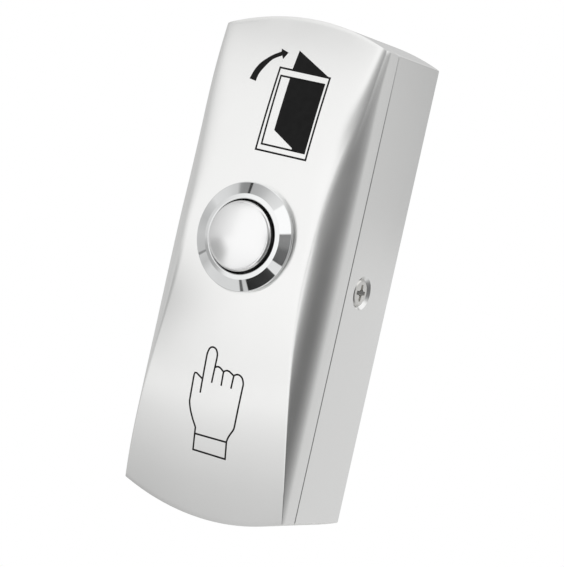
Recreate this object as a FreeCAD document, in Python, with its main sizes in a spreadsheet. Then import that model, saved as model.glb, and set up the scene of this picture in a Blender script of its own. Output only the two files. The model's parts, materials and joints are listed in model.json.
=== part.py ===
import FreeCAD, Part

import math
import os
import re

import Sketcher

# Door exit button: a narrow die-cast wall unit with a metal push switch.
# The origin is the centre of the wall face, +Z runs up the length, +X to the right and
# the front looks along -Y. All lengths are in millimetres.

V = FreeCAD.Vector

os.makedirs("parts", exist_ok=True)
doc = FreeCAD.newDocument("door_exit_button")


# Driving dimensions

SIZES = {
    # outline of cover and box, seen from the front
    "body_length": 80.0,
    "body_width": 30.0,
    "end_rise": 3.0,
    # back box
    "box_depth": 14.2,
    "box_wall": 2.0,
    "base_thickness": 2.0,
    "wall_hole_spacing": 60.0,
    "wall_hole_radius": 2.1,
    "wire_hole_radius": 5.0,
    "wire_hole_drop": 17.0,
    "rim_break": 0.15,
    # front cover, heights counted from the seam
    "crown_height": 8.0,
    "tip_height": 3.1,
    "shoulder_start": 2.8,
    "shoulder_radius": 5.5,
    "cover_wall": 2.0,
    "crease_round": 0.4,
    # locating lip of the box inside the cover
    "lip_wall": 0.8,
    "lip_height": 1.2,
    "lip_root": 2.0,
    "lip_gap": 0.1,
    # lugs of the cover that take the side screws
    "lug_width": 7.0,
    "lug_thickness": 2.2,
    "lug_reach": 8.5,
    "lug_root": 2.4,
    "lug_gap": 0.2,
    # side screws
    "screw_drop": 5.0,
    "screw_radius": 1.25,
    "screw_head_radius": 2.3,
    "screw_length": 5.4,
    "screw_sink": 0.25,
    "screw_play": 0.15,
    "recess_width": 0.55,
    "recess_span": 2.7,
    "recess_depth": 0.9,
    "thread_play": 0.03,
    # push switch, heights counted from its seat on the cover
    "switch_lift": 4.7,
    "seat_height": 7.45,
    "seat_play": 0.2,
    "panel_thickness": 2.1,
    "boss_radius": 10.0,
    "bezel_radius": 8.55,
    "bezel_edge": 1.27,
    "bezel_rise": 2.05,
    "bezel_lip_outer": 6.5,
    "well_radius": 5.85,
    "edge_round": 0.12,
    "barrel_radius": 6.9,
    "barrel_play": 0.1,
    "barrel_length": 12.4,
    "chamber_radius": 5.6,
    "web_depth": 4.0,
    "web_thickness": 1.5,
    # seals
    "bezel_seal_radius": 7.6,
    "bezel_seal_section": 0.35,
    "seal_groove_play": 0.05,
    "button_seal_section": 0.45,
    "button_seal_gap": 0.05,
    "button_seal_height": 0.6,
    # moving button
    "button_radius": 5.5,
    "button_face": 2.9,
    "button_dome": 0.8,
    "button_round": 0.35,
    "button_skirt": 0.6,
    "button_travel": 1.8,
    "stem_radius": 2.5,
    "stem_play": 0.05,
    "stem_tail": 0.6,
    # retaining clip
    "clip_radius": 3.7,
    "clip_thickness": 0.45,
    "clip_groove_depth": 0.6,
    "clip_play": 0.05,
    # return spring
    "spring_radius": 4.1,
    "spring_wire": 0.5,
    "spring_turns": 3.0,
    "spring_clear": 0.05,
    # nut and lock washer
    "washer_radius": 9.0,
    "washer_thickness": 0.8,
    "washer_teeth": 12,
    "washer_notch": 1.1,
    "nut_flats": 17.0,
    "nut_thickness": 2.4,
    # plunger and contact bridge
    "plunger_radius": 2.2,
    "plunger_height": 1.6,
    "spigot_radius": 1.0,
    "spigot_length": 1.8,
    "stake_radius": 0.8,
    "stake_head_radius": 1.3,
    "stake_head_height": 0.4,
    "bridge_length": 8.8,
    "bridge_width": 2.6,
    "bridge_thickness": 0.4,
    "contact_spread": 3.6,
    "contact_radius": 0.75,
    "contact_rise": 0.25,
    "contact_slack": 0.05,
    # fixed contacts, switch base and terminals
    "base_flange": 1.8,
    "base_fit": 0.05,
    "strip_thickness": 0.5,
    "strip_width": 3.2,
    "strip_reach": 4.9,
    "pad_length": 2.4,
    "foot_length": 3.8,
    "slot_play": 0.05,
    "terminal_spread": 2.95,
    "terminal_radius": 1.0,
    "terminal_head_radius": 1.7,
    "terminal_head_height": 1.3,
    "terminal_clear": 0.6,
    "terminal_slot": 0.5,
    "clamp_side": 3.2,
    "clamp_thickness": 0.5,
}

sheet = doc.addObject("Spreadsheet::Sheet", "Sizes")
for row, (alias, value) in enumerate(SIZES.items(), start=1):
    sheet.set(f"A{row}", alias)
    sheet.set(f"B{row}", str(value))
    sheet.setAlias(f"B{row}", alias)
doc.recompute()


# Places that several pieces share, as formulas of the sheet's sizes

HALF_WIDTH = "body_width / 2"
HALF_LENGTH = "body_length / 2"
END_RADIUS = "((body_width / 2) ^ 2 + end_rise ^ 2) / (2 * end_rise)"
BOW_DROP = "(crown_height - tip_height)"
BOW_RADIUS = f"((body_length / 2) ^ 2 + {BOW_DROP} ^ 2) / (2 * {BOW_DROP})"
SEAT = "(box_depth + seat_height)"
WEB_END = "(web_depth + web_thickness)"
STEM_END = f"({WEB_END} + clip_thickness + 2 * clip_play + stem_tail)"
PLUNGER_END = f"({STEM_END} + plunger_height)"
BRIDGE_END = f"({PLUNGER_END} + bridge_thickness)"
PAD_FACE = f"({BRIDGE_END} + contact_rise + button_travel + contact_slack)"
BASE_TOP = f"({PAD_FACE} + strip_thickness)"
BASE_BACK = "(barrel_length + base_flange)"
FOOT_BACK = f"({BASE_BACK} + strip_thickness)"
CLAMP_BACK = f"({FOOT_BACK} + clamp_thickness)"
SCREW_DEPTH = "(box_depth - screw_drop)"


def formula(text):
    """The text with each size's name pointed at its cell of the sheet."""
    return re.sub(r"[a-z]+(?:_[a-z]+)+", lambda m: "Sizes." + m.group(0), text)


def number(text):
    """The present value of a formula."""
    value = sheet.evalExpression(formula(text))
    return float(getattr(value, "Value", value))


def minus(text):
    return f"-({text})"


# Sketches and features

def new_body(label, across="0", along="0", up="0", turn=0.0):
    """A body whose own origin stands at the given formulas of X, Y and Z, turned about Z."""
    body = doc.addObject("PartDesign::Body", label)
    body.Label = label
    body.Placement = FreeCAD.Placement(V(0, 0, 0), FreeCAD.Rotation(V(0, 0, 1), turn))
    for axis, text in (("x", across), ("y", along), ("z", up)):
        if text != "0":
            body.setExpression(f"Placement.Base.{axis}", formula(text))
    return body


def plane_of(body, role):
    return next(f for f in body.Origin.OriginFeatures if f.Role == role)


def new_sketch(body, name, role, lift="0", shift="0"):
    """A sketch on one of the body's own planes, lifted along its normal, or shifted in its
    plane along the second axis."""
    sketch = body.newObject("Sketcher::SketchObject", name)
    sketch.AttachmentSupport = [(plane_of(body, role), "")]
    sketch.MapMode = "FlatFace"
    if lift != "0":
        sketch.setExpression("AttachmentOffset.Base.z", formula(lift))
    if shift != "0":
        sketch.setExpression("AttachmentOffset.Base.y", formula(shift))
    return sketch


def bind(sketch, constraint, name, text):
    index = sketch.addConstraint(constraint)
    sketch.renameConstraint(index, name)
    sketch.setExpression(f"Constraints.{name}", formula(text))


def bend_between(start, end, radius, left):
    """The arc from start to end that turns left or right, as a counter-clockwise arc."""
    chord = end - start
    side = V(-chord.y, chord.x, 0)
    side.normalize()
    if not left:
        side = side * -1
    rise = math.sqrt(radius ** 2 - (chord.Length / 2) ** 2)
    centre = (start + end) * 0.5 + side * rise
    first, last = (start, end) if left else (end, start)
    angles = [math.atan2(p.y - centre.y, p.x - centre.x) for p in (first, last)]
    if angles[1] < angles[0]:
        angles[1] += 2 * math.pi
    return Part.ArcOfCircle(Part.Circle(centre, V(0, 0, 1), radius), *angles)


def outline(sketch, corners, bends=None):
    """A closed outline through corners, each a pair of formulas. bends holds the radius of
    the edge that leaves a corner, and whether it turns left, by the corner's number."""
    bends = bends or {}
    tag = f"p{sketch.GeometryCount}_"
    points = [V(number(x), number(y), 0) for x, y in corners]
    edges = []
    for i, start in enumerate(points):
        end = points[(i + 1) % len(points)]
        if i in bends:
            radius, left = bends[i]
            edge = sketch.addGeometry(bend_between(start, end, number(radius), left))
            edges.append((edge, 1, 2) if left else (edge, 2, 1))
        else:
            edge = sketch.addGeometry(Part.LineSegment(start, end))
            edges.append((edge, 1, 2))
    for i, (edge, head, tail) in enumerate(edges):
        following, entry, _ = edges[(i + 1) % len(edges)]
        sketch.addConstraint(Sketcher.Constraint("Coincident", edge, tail, following, entry))
    for i, (edge, head, tail) in enumerate(edges):
        x, y = corners[i]
        across = Sketcher.Constraint("DistanceX", edge, head, points[i].x)
        along = Sketcher.Constraint("DistanceY", edge, head, points[i].y)
        bind(sketch, across, f"{tag}x{i}", x)
        bind(sketch, along, f"{tag}y{i}", y)
        if i in bends:
            radius = bends[i][0]
            bind(sketch, Sketcher.Constraint("Radius", edge, number(radius)), f"{tag}r{i}", radius)


def circle(sketch, x, y, radius):
    tag = f"c{sketch.GeometryCount}_"
    ring = sketch.addGeometry(Part.Circle(V(number(x), number(y), 0), V(0, 0, 1), number(radius)))
    bind(sketch, Sketcher.Constraint("DistanceX", ring, 3, number(x)), f"{tag}x", x)
    bind(sketch, Sketcher.Constraint("DistanceY", ring, 3, number(y)), f"{tag}y", y)
    bind(sketch, Sketcher.Constraint("Radius", ring, number(radius)), f"{tag}r", radius)


def rectangle(sketch, left, right, low, high):
    outline(sketch, [(left, low), (right, low), (right, high), (left, high)])


def pad(body, sketch, length, middle=False, reverse=False):
    feature = body.newObject("PartDesign::Pad", sketch.Name + "_pad")
    feature.Profile = sketch
    feature.SideType = "Symmetric" if middle else "One side"
    feature.Reversed = reverse
    feature.setExpression("Length", formula(length))
    doc.recompute()
    return feature


def pocket(body, sketch, length=None, reverse=False):
    """A cut of the given length on one side of the sketch, or right through on both."""
    feature = body.newObject("PartDesign::Pocket", sketch.Name + "_cut")
    feature.Profile = sketch
    if length is None:
        feature.SideType = "Symmetric"
        feature.Type = "ThroughAll"
    else:
        feature.Reversed = reverse
        feature.setExpression("Length", formula(length))
    doc.recompute()
    return feature


def turn(body, sketch, cut=False):
    """The sketch turned once about its own horizontal axis."""
    kind = "PartDesign::Groove" if cut else "PartDesign::Revolution"
    feature = body.newObject(kind, sketch.Name + "_turned")
    feature.Profile = sketch
    feature.ReferenceAxis = (sketch, ["H_Axis"])
    feature.Angle = 360
    doc.recompute()
    return feature


def edges_where(shape, test):
    """Names of the shape's edges whose two ends and middle all pass the test."""
    names = []
    for i, edge in enumerate(shape.Edges, start=1):
        middle = edge.valueAt((edge.FirstParameter + edge.LastParameter) / 2)
        if all(test(p) for p in [v.Point for v in edge.Vertexes] + [middle]):
            names.append(f"Edge{i}")
    return names


def soften(body, kind, test, size, setting):
    """A fillet or chamfer on the edges that pass the test."""
    base = body.Tip
    feature = body.newObject(f"PartDesign::{kind}", body.Name + "_" + kind.lower())
    feature.Base = (base, edges_where(base.Shape, test))
    feature.setExpression(setting, formula(size))
    doc.recompute()
    return feature


# Outline of cover and box

def plan(sketch, inset):
    """Straight long sides and bowed ends, drawn inside the outer outline by the inset."""
    radius = f"({END_RADIUS} - {inset})"
    side = f"({HALF_WIDTH} - {inset})"
    corner = f"({HALF_LENGTH} - {END_RADIUS} + sqrt({radius} ^ 2 - {side} ^ 2))"
    corners = [
        (side, minus(corner)),
        (side, corner),
        (minus(side), corner),
        (minus(side), minus(corner)),
    ]
    outline(sketch, corners, {1: (radius, True), 3: (radius, True)})


def on_rim(height):
    """A test for the outer rim at a height from the wall."""
    def test(point):
        across = abs(point.x)
        centre = number(f"{HALF_LENGTH} - {END_RADIUS}")
        radius = number(END_RADIUS)
        on_side = abs(across - number(HALF_WIDTH)) < 0.01
        on_end = abs(math.hypot(across, abs(point.z) - centre) - radius) < 0.01
        return abs(point.y + height) < 0.01 and (on_side or on_end)
    return test


# Front cover

def cover_form(body, inset, start):
    """The bowed block with rounded shoulders, drawn inside the outer form by the inset."""
    block = new_sketch(body, body.Name + "_plan", "XZ_Plane", lift=start)
    plan(block, inset)
    top = f"(box_depth + shoulder_start + shoulder_radius - {inset})"
    pad(body, block, f"{top} - ({start})")
    edge = number(f"{HALF_WIDTH} - {inset}")
    front = number(top)
    soften(
        body,
        "Fillet",
        lambda p: abs(abs(p.x) - edge) < 0.01 and abs(p.y + front) < 0.01,
        f"shoulder_radius - {inset}",
        "Radius",
    )
    bow = new_sketch(body, body.Name + "_bow", "YZ_Plane")
    reach = f"({HALF_LENGTH} + end_rise)"
    radius = f"({BOW_RADIUS} - {inset})"
    crown = f"(box_depth + crown_height - {inset})"
    foot = f"({crown} - {radius} + sqrt({radius} ^ 2 - {reach} ^ 2))"
    clear = f"({top} + end_rise)"
    corners = [
        (minus(foot), reach),
        (minus(clear), reach),
        (minus(clear), minus(reach)),
        (minus(foot), minus(reach)),
    ]
    outline(bow, corners, {3: (radius, False)})
    pocket(body, bow)


def on_crease(point):
    """A test for the two creases where the bow cuts the shoulders."""
    centre = number(f"box_depth + crown_height - {BOW_RADIUS}")
    on_bow = abs(math.hypot(point.z, point.y + centre) - number(BOW_RADIUS)) < 0.01
    return on_bow and abs(point.x) > number("body_width / 4")


core = new_body("cover_core")
cover_form(core, "cover_wall", "box_depth - lip_height")

cover = new_body("front_cover")
cover_form(cover, "0", "box_depth")
soften(cover, "Fillet", on_crease, "crease_round", "Radius")
hollow = cover.newObject("PartDesign::Boolean", "cover_hollow")
hollow.Type = "Cut"
hollow.addObject(core)
doc.recompute()

# flat boss inside the front wall for the switch's nut
boss = new_sketch(cover, "boss", "XZ_Plane", lift=f"{SEAT} - panel_thickness")
circle(boss, "0", "switch_lift", "boss_radius")
pad(cover, boss, "crown_height - cover_wall / 2 - seat_height + panel_thickness")

# lugs that hang from the side walls into the box
lugs = new_sketch(cover, "lugs", "XY_Plane")
LUG_FACE = f"({HALF_WIDTH} - box_wall - lug_gap)"
LUG_BACK = f"({LUG_FACE} - lug_thickness)"
LUG_FOOT = "(box_depth - lug_reach)"
LUG_TOP = "(box_depth + lug_root)"
WALL_MIDDLE = f"({HALF_WIDTH} - cover_wall / 2)"
for side in ("", "-"):
    outline(
        lugs,
        [
            (side + LUG_BACK, minus(LUG_FOOT)),
            (side + LUG_FACE, minus(LUG_FOOT)),
            (side + LUG_FACE, "-box_depth"),
            (side + WALL_MIDDLE, "-box_depth"),
            (side + WALL_MIDDLE, minus(LUG_TOP)),
            (side + LUG_BACK, minus(LUG_TOP)),
        ],
    )
pad(cover, lugs, "lug_width", middle=True)
lug_foot = number(LUG_FOOT)
soften(
    cover,
    "Fillet",
    lambda p: abs(p.y + lug_foot) < 0.01 and abs(abs(p.z) - number("lug_width / 2")) < 0.01,
    "lug_width / 2 - screw_head_radius / 2",
    "Radius",
)
tapped = new_sketch(cover, "tapped_holes", "YZ_Plane")
circle(tapped, minus(SCREW_DEPTH), "0", "screw_radius + thread_play")
pocket(cover, tapped)

# flat seat and hole for the switch
seat = new_sketch(cover, "switch_seat", "XZ_Plane", lift=SEAT)
circle(seat, "0", "switch_lift", "bezel_radius + seat_play")
pocket(cover, seat, "crown_height", reverse=True)
hole = new_sketch(cover, "switch_hole", "XZ_Plane")
circle(hole, "0", "switch_lift", "barrel_radius + barrel_play")
pocket(cover, hole)
soften(cover, "Chamfer", on_rim(number("box_depth")), "rim_break", "Size")


# Back box

box = new_body("back_box")
shell = new_sketch(box, "box_plan", "XZ_Plane")
plan(shell, "0")
pad(box, shell, "box_depth")
cavity = new_sketch(box, "box_cavity", "XZ_Plane", lift="box_depth")
plan(cavity, "box_wall")
pocket(box, cavity, "box_depth - base_thickness")

# locating lip that stands up inside the cover
root = new_sketch(box, "lip_root_plan", "XZ_Plane", lift="box_depth - lip_root")
plan(root, "box_wall")
plan(root, "(box_wall + lip_gap + lip_wall)")
pad(box, root, "lip_root")
lip = new_sketch(box, "lip_plan", "XZ_Plane", lift="box_depth - lip_root")
plan(lip, "(box_wall + lip_gap)")
plan(lip, "(box_wall + lip_gap + lip_wall)")
pad(box, lip, "lip_root + lip_height")
gap = new_sketch(box, "lip_gap_plan", "XZ_Plane", lift="box_depth - lip_root")
GAP_EDGE = f"({HALF_WIDTH} - box_wall)"
GAP_SIDE = "(lug_width / 2 + lug_gap)"
rectangle(gap, minus(GAP_EDGE), GAP_EDGE, minus(GAP_SIDE), GAP_SIDE)
pocket(box, gap, "lip_root + lip_height", reverse=True)

# holes for the wall screws and the wires
base_holes = new_sketch(box, "base_holes", "XZ_Plane")
for side in ("", "-"):
    circle(base_holes, "0", side + "wall_hole_spacing / 2", "wall_hole_radius")
circle(base_holes, "0", "-wire_hole_drop", "wire_hole_radius")
pocket(box, base_holes)

# countersunk holes for the side screws
sinks = new_sketch(box, "side_screw_holes", "XY_Plane", shift=minus(SCREW_DEPTH))
HOLE_RADIUS = "(screw_radius + screw_play)"
MOUTH_RADIUS = f"({HOLE_RADIUS} + screw_head_radius - screw_radius + screw_sink)"
INNER_FACE = f"({HALF_WIDTH} - box_wall - lug_gap / 2)"
CONE_END = f"({HALF_WIDTH} - {MOUTH_RADIUS} + {HOLE_RADIUS})"
OUTSIDE = f"({HALF_WIDTH} + screw_play)"
for side in ("", "-"):
    outline(
        sinks,
        [
            (side + INNER_FACE, "0"),
            (side + OUTSIDE, "0"),
            (side + OUTSIDE, f"{MOUTH_RADIUS} + screw_play"),
            (side + CONE_END, HOLE_RADIUS),
            (side + INNER_FACE, HOLE_RADIUS),
        ],
    )
turn(box, sinks, cut=True)
soften(box, "Chamfer", on_rim(number("box_depth")), "rim_break", "Size")


# Side screws, turned about their own X axis, which points into the box

def side_screw(label, across, angle):
    screw = new_body(label, across=across, along=minus(SCREW_DEPTH), turn=angle)
    profile = new_sketch(screw, label + "_profile", "XY_Plane")
    cone_end = "(screw_sink + screw_head_radius - screw_radius)"
    tip = "(screw_sink + screw_length)"
    outline(
        profile,
        [
            ("screw_sink", "0"),
            ("screw_sink", "screw_head_radius"),
            (cone_end, "screw_radius"),
            (f"{tip} - screw_radius / 3", "screw_radius"),
            (tip, "screw_radius * 2 / 3"),
            (tip, "0"),
        ],
    )
    turn(screw, profile)
    recess = new_sketch(screw, label + "_recess", "YZ_Plane", lift="screw_sink")
    arm = "recess_width / 2"
    far = "recess_span / 2"
    outline(
        recess,
        [
            (minus(arm), minus(far)), (arm, minus(far)), (arm, minus(arm)), (far, minus(arm)),
            (far, arm), (arm, arm), (arm, far), (minus(arm), far),
            (minus(arm), arm), (minus(far), arm), (minus(far), minus(arm)), (minus(arm), minus(arm)),
        ],
    )
    pocket(screw, recess, "recess_depth", reverse=True)
    return screw


side_screw_right = side_screw("side_screw_right", HALF_WIDTH, 180.0)
side_screw_left = side_screw("side_screw_left", minus(HALF_WIDTH), 0.0)


# Pieces on the switch's axis: each body's origin lies on the seat and its Y runs to the wall

def on_axis(label):
    return new_body(label, along=minus(SEAT), up="switch_lift")


def turned(label, corners, bends=None):
    """A piece turned about the switch's axis from its half section of depths and radii."""
    body = on_axis(label)
    profile = new_sketch(body, label + "_profile", "YZ_Plane")
    outline(profile, corners, bends)
    turn(body, profile)
    return body


def ring(label, depth, radius, section):
    """An O-ring."""
    body = on_axis(label)
    profile = new_sketch(body, label + "_profile", "YZ_Plane")
    circle(profile, depth, radius, section)
    turn(body, profile)
    return body


SEAL_WIDTH = "(bezel_seal_section + seal_groove_play)"
housing = turned(
    "switch_housing",
    [
        ("0", f"bezel_seal_radius + {SEAL_WIDTH}"),
        ("0", "bezel_radius"),
        ("-bezel_edge + edge_round", "bezel_radius"),
        ("-bezel_edge", "bezel_radius - edge_round"),
        ("-bezel_rise + edge_round", "bezel_lip_outer"),
        ("-bezel_rise", "bezel_lip_outer - edge_round"),
        ("-bezel_rise", "well_radius + edge_round"),
        ("-bezel_rise + edge_round", "well_radius"),
        ("web_depth", "well_radius"),
        ("web_depth", "stem_radius + stem_play"),
        (WEB_END, "stem_radius + stem_play"),
        (WEB_END, "chamber_radius"),
        ("barrel_length", "chamber_radius"),
        ("barrel_length", "barrel_radius - edge_round"),
        ("barrel_length - edge_round", "barrel_radius"),
        ("0", "barrel_radius"),
        ("0", f"bezel_seal_radius - {SEAL_WIDTH}"),
        (f"-2 * {SEAL_WIDTH}", f"bezel_seal_radius - {SEAL_WIDTH}"),
        (f"-2 * {SEAL_WIDTH}", f"bezel_seal_radius + {SEAL_WIDTH}"),
    ],
)
bezel_seal = ring("bezel_seal", minus(SEAL_WIDTH), "bezel_seal_radius", "bezel_seal_section")

# push button: domed cap, seal groove, stem with clip groove and a socket for the plunger
BUTTON_SEAL_RADIUS = "(well_radius - button_seal_gap - button_seal_section)"
GROOVE_FLOOR = f"({BUTTON_SEAL_RADIUS} - button_seal_section - seal_groove_play)"
GROOVE_HALF = "(button_seal_section + seal_groove_play)"
CLIP_TOP = f"({WEB_END} + clip_play)"
CLIP_FLOOR = "(stem_radius - clip_groove_depth)"
DOME_EDGE = "(button_radius - button_round)"
button = turned(
    "push_button",
    [
        ("-button_face - button_dome", "0"),
        (f"{STEM_END} - spigot_length", "0"),
        (f"{STEM_END} - spigot_length", "spigot_radius"),
        (STEM_END, "spigot_radius"),
        (STEM_END, "stem_radius"),
        (f"{CLIP_TOP} + clip_thickness + clip_play", "stem_radius"),
        (f"{CLIP_TOP} + clip_thickness + clip_play", CLIP_FLOOR),
        (CLIP_TOP, CLIP_FLOOR),
        (CLIP_TOP, "stem_radius"),
        ("button_skirt", "stem_radius"),
        ("button_skirt", "button_radius"),
        (f"-button_seal_height + {GROOVE_HALF}", "button_radius"),
        (f"-button_seal_height + {GROOVE_HALF}", GROOVE_FLOOR),
        (f"-button_seal_height - {GROOVE_HALF}", GROOVE_FLOOR),
        (f"-button_seal_height - {GROOVE_HALF}", "button_radius"),
        ("-button_face + button_round", "button_radius"),
        ("-button_face", DOME_EDGE),
    ],
    {
        15: ("button_round", True),
        16: (f"({DOME_EDGE} ^ 2 + button_dome ^ 2) / (2 * button_dome)", True),
    },
)
button_seal = ring("button_seal", "-button_seal_height", BUTTON_SEAL_RADIUS, "button_seal_section")

# return spring between the cap and the web
spring = on_axis("return_spring")
wire = new_sketch(spring, "spring_wire_section", "YZ_Plane")
SPRING_START = "(button_skirt + spring_wire / 2 + spring_clear)"
SPRING_END = "(web_depth - spring_wire / 2 - spring_clear)"
circle(wire, SPRING_START, "spring_radius", "spring_wire / 2")
coil = spring.newObject("PartDesign::AdditiveHelix", "spring_coil")
coil.Profile = wire
coil.ReferenceAxis = (wire, ["H_Axis"])
coil.Mode = "height-turns-angle"
coil.setExpression("Height", formula(f"{SPRING_END} - {SPRING_START}"))
coil.setExpression("Turns", formula("spring_turns"))
doc.recompute()

# retaining clip: a flat ring, open on one side, in the stem's groove
clip = on_axis("retaining_clip")
clip_plan = new_sketch(clip, "clip_plan", "XZ_Plane", lift=minus(f"{CLIP_TOP} + clip_thickness"))
circle(clip_plan, "0", "0", "clip_radius")
circle(clip_plan, "0", "0", f"{CLIP_FLOOR} + clip_play")
pad(clip, clip_plan, "clip_thickness")
clip_mouth = new_sketch(clip, "clip_mouth", "XZ_Plane")
MOUTH = f"({CLIP_FLOOR} * 0.8)"
rectangle(clip_mouth, minus(MOUTH), MOUTH, "-clip_radius - clip_play", "0")
pocket(clip, clip_mouth)

# lock washer with teeth, and the nut behind it
WASHER_BACK = "(panel_thickness + washer_thickness)"
washer = on_axis("lock_washer")
washer_plan = new_sketch(washer, "washer_plan", "XZ_Plane", lift=minus(WASHER_BACK))
circle(washer_plan, "0", "0", "washer_radius")
circle(washer_plan, "0", "0", "barrel_radius + barrel_play")
pad(washer, washer_plan, "washer_thickness")
notch = new_sketch(washer, "washer_notch", "XZ_Plane")
rectangle(
    notch,
    "-washer_notch / 2",
    "washer_notch / 2",
    "washer_radius - washer_notch",
    "washer_radius + washer_notch",
)
notch_cut = pocket(washer, notch)
teeth = washer.newObject("PartDesign::PolarPattern", "washer_teeth_pattern")
teeth.Originals = [notch_cut]
teeth.Axis = (notch, ["N_Axis"])
teeth.Angle = 360
teeth.Occurrences = SIZES["washer_teeth"]
teeth.setExpression("Occurrences", formula("washer_teeth"))
washer.Tip = teeth
doc.recompute()

nut = on_axis("panel_nut")
nut_plan = new_sketch(nut, "nut_plan", "XZ_Plane", lift=minus(f"{WASHER_BACK} + nut_thickness"))
NUT_CORNER = "(nut_flats / 2 / cos(30))"
outline(
    nut_plan,
    [(f"{NUT_CORNER} * sin({60 * i})", f"{NUT_CORNER} * cos({60 * i})") for i in range(6)],
)
circle(nut_plan, "0", "0", "barrel_radius + thread_play")
pad(nut, nut_plan, "nut_thickness")

# insulating plunger on the stem, staked through the contact bridge
plunger = turned(
    "plunger",
    [
        (f"{STEM_END} - spigot_length + thread_play", "0"),
        (f"{BRIDGE_END} + stake_head_height", "0"),
        (f"{BRIDGE_END} + stake_head_height", "stake_head_radius"),
        (BRIDGE_END, "stake_head_radius"),
        (BRIDGE_END, "stake_radius"),
        (PLUNGER_END, "stake_radius"),
        (PLUNGER_END, "plunger_radius"),
        (STEM_END, "plunger_radius"),
        (STEM_END, "spigot_radius - thread_play"),
        (f"{STEM_END} - spigot_length + thread_play", "spigot_radius - thread_play"),
    ],
)
bridge = on_axis("contact_bridge")
bar = new_sketch(bridge, "bridge_plan", "XZ_Plane", lift=minus(BRIDGE_END))
rectangle(bar, "-bridge_length / 2", "bridge_length / 2", "-bridge_width / 2", "bridge_width / 2")
circle(bar, "0", "0", "stake_radius + thread_play")
pad(bridge, bar, "bridge_thickness")
tips = new_sketch(bridge, "bridge_contacts", "XZ_Plane", lift=minus(f"{BRIDGE_END} + contact_rise"))
for side in ("", "-"):
    circle(tips, side + "contact_spread", "0", "contact_radius")
pad(bridge, tips, "contact_rise + bridge_thickness / 2")

# switch base, which closes the barrel and carries the contacts
switch_base = turned(
    "switch_base",
    [
        (BASE_TOP, "0"),
        (BASE_BACK, "0"),
        (BASE_BACK, "barrel_radius"),
        ("barrel_length", "barrel_radius"),
        ("barrel_length", "chamber_radius - base_fit"),
        (BASE_TOP, "chamber_radius - base_fit"),
    ],
)
slots = new_sketch(switch_base, "contact_slots", "XZ_Plane")
for side in ("", "-"):
    near = f"{side}(strip_reach - strip_thickness - slot_play)"
    far = f"{side}(strip_reach + slot_play)"
    rectangle(slots, near, far, "-strip_width / 2 - slot_play", "strip_width / 2 + slot_play")
pocket(switch_base, slots)
screw_holes = new_sketch(switch_base, "terminal_holes", "XZ_Plane")
for side in ("", "-"):
    circle(screw_holes, side + "terminal_spread", "0", "terminal_radius + thread_play")
pocket(switch_base, screw_holes)


def fixed_contact(label, side):
    """A brass strip: pad in the chamber, leg through the base, foot under the terminal screw."""
    body = on_axis(label)
    strip = new_sketch(body, label + "_strip", "XY_Plane")
    inner = "(strip_reach - strip_thickness)"
    outline(
        strip,
        [
            (f"{side}(strip_reach - pad_length)", PAD_FACE),
            (f"{side}strip_reach", PAD_FACE),
            (f"{side}strip_reach", FOOT_BACK),
            (f"{side}(strip_reach - foot_length)", FOOT_BACK),
            (f"{side}(strip_reach - foot_length)", BASE_BACK),
            (f"{side}{inner}", BASE_BACK),
            (f"{side}{inner}", BASE_TOP),
            (f"{side}(strip_reach - pad_length)", BASE_TOP),
        ],
    )
    pad(body, strip, "strip_width", middle=True)
    # the hole goes through the foot alone
    hole = new_sketch(body, label + "_hole", "XZ_Plane", lift=minus(BASE_BACK))
    circle(hole, f"{side}terminal_spread", "0", "terminal_radius + thread_play")
    pocket(body, hole, "strip_thickness * 2")
    return body


def terminal_screw(label, side):
    """A slotted screw through clamp, foot and base that stops short of the pad's inner face."""
    screw = new_body(
        label, across=f"{side}terminal_spread", along=f"-({SEAT}) + {CLAMP_BACK}", up="switch_lift"
    )
    profile = new_sketch(screw, label + "_profile", "YZ_Plane")
    tip = f"{BASE_TOP} + terminal_clear - {CLAMP_BACK}"
    outline(
        profile,
        [
            (tip, "0"),
            ("terminal_head_height", "0"),
            ("terminal_head_height", "terminal_head_radius - edge_round"),
            ("terminal_head_height - edge_round", "terminal_head_radius"),
            ("0", "terminal_head_radius"),
            ("0", "terminal_radius"),
            (tip, "terminal_radius"),
        ],
    )
    turn(screw, profile)
    slot = new_sketch(screw, label + "_slot", "XY_Plane")
    rectangle(
        slot,
        "-terminal_slot / 2",
        "terminal_slot / 2",
        "terminal_head_height / 2",
        "terminal_head_height * 2",
    )
    pocket(screw, slot)
    return screw


def clamp(label, side):
    """The square washer that presses the wire on the foot."""
    body = on_axis(label)
    square = new_sketch(body, label + "_plan", "XZ_Plane", lift=minus(CLAMP_BACK))
    left = f"{side}terminal_spread - clamp_side / 2"
    right = f"{side}terminal_spread + clamp_side / 2"
    rectangle(square, left, right, "-clamp_side / 2", "clamp_side / 2")
    circle(square, f"{side}terminal_spread", "0", "terminal_radius + thread_play")
    pad(body, square, "clamp_thickness")
    return body


contacts = []
for name, side in (("left", "-"), ("right", "")):
    contacts.append(fixed_contact(f"fixed_contact_{name}", side))
    contacts.append(clamp(f"wire_clamp_{name}", side))
    contacts.append(terminal_screw(f"terminal_screw_{name}", side))


# Checks and export

NODES = [
    cover, box, side_screw_left, side_screw_right, housing, bezel_seal, washer, nut,
    button, button_seal, spring, clip, plunger, bridge, switch_base,
] + contacts

doc.recompute()
for item in doc.Objects:
    if "Invalid" in item.State or "Error" in item.State:
        raise RuntimeError(f"{item.Name} failed: {item.State}")
for node in NODES:
    shape = node.Shape
    if shape.isNull() or not shape.isValid() or len(shape.Solids) != 1:
        raise RuntimeError(f"{node.Label} is not one valid solid")
for node in NODES:
    shape = node.Shape
    shape.exportStep(f"parts/{node.Label}.step")
    box_size = shape.BoundBox
    print(f"{node.Label:22s} {shape.Volume:9.2f} mm3  y {box_size.YMin:7.2f} to {box_size.YMax:7.2f}")
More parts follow.
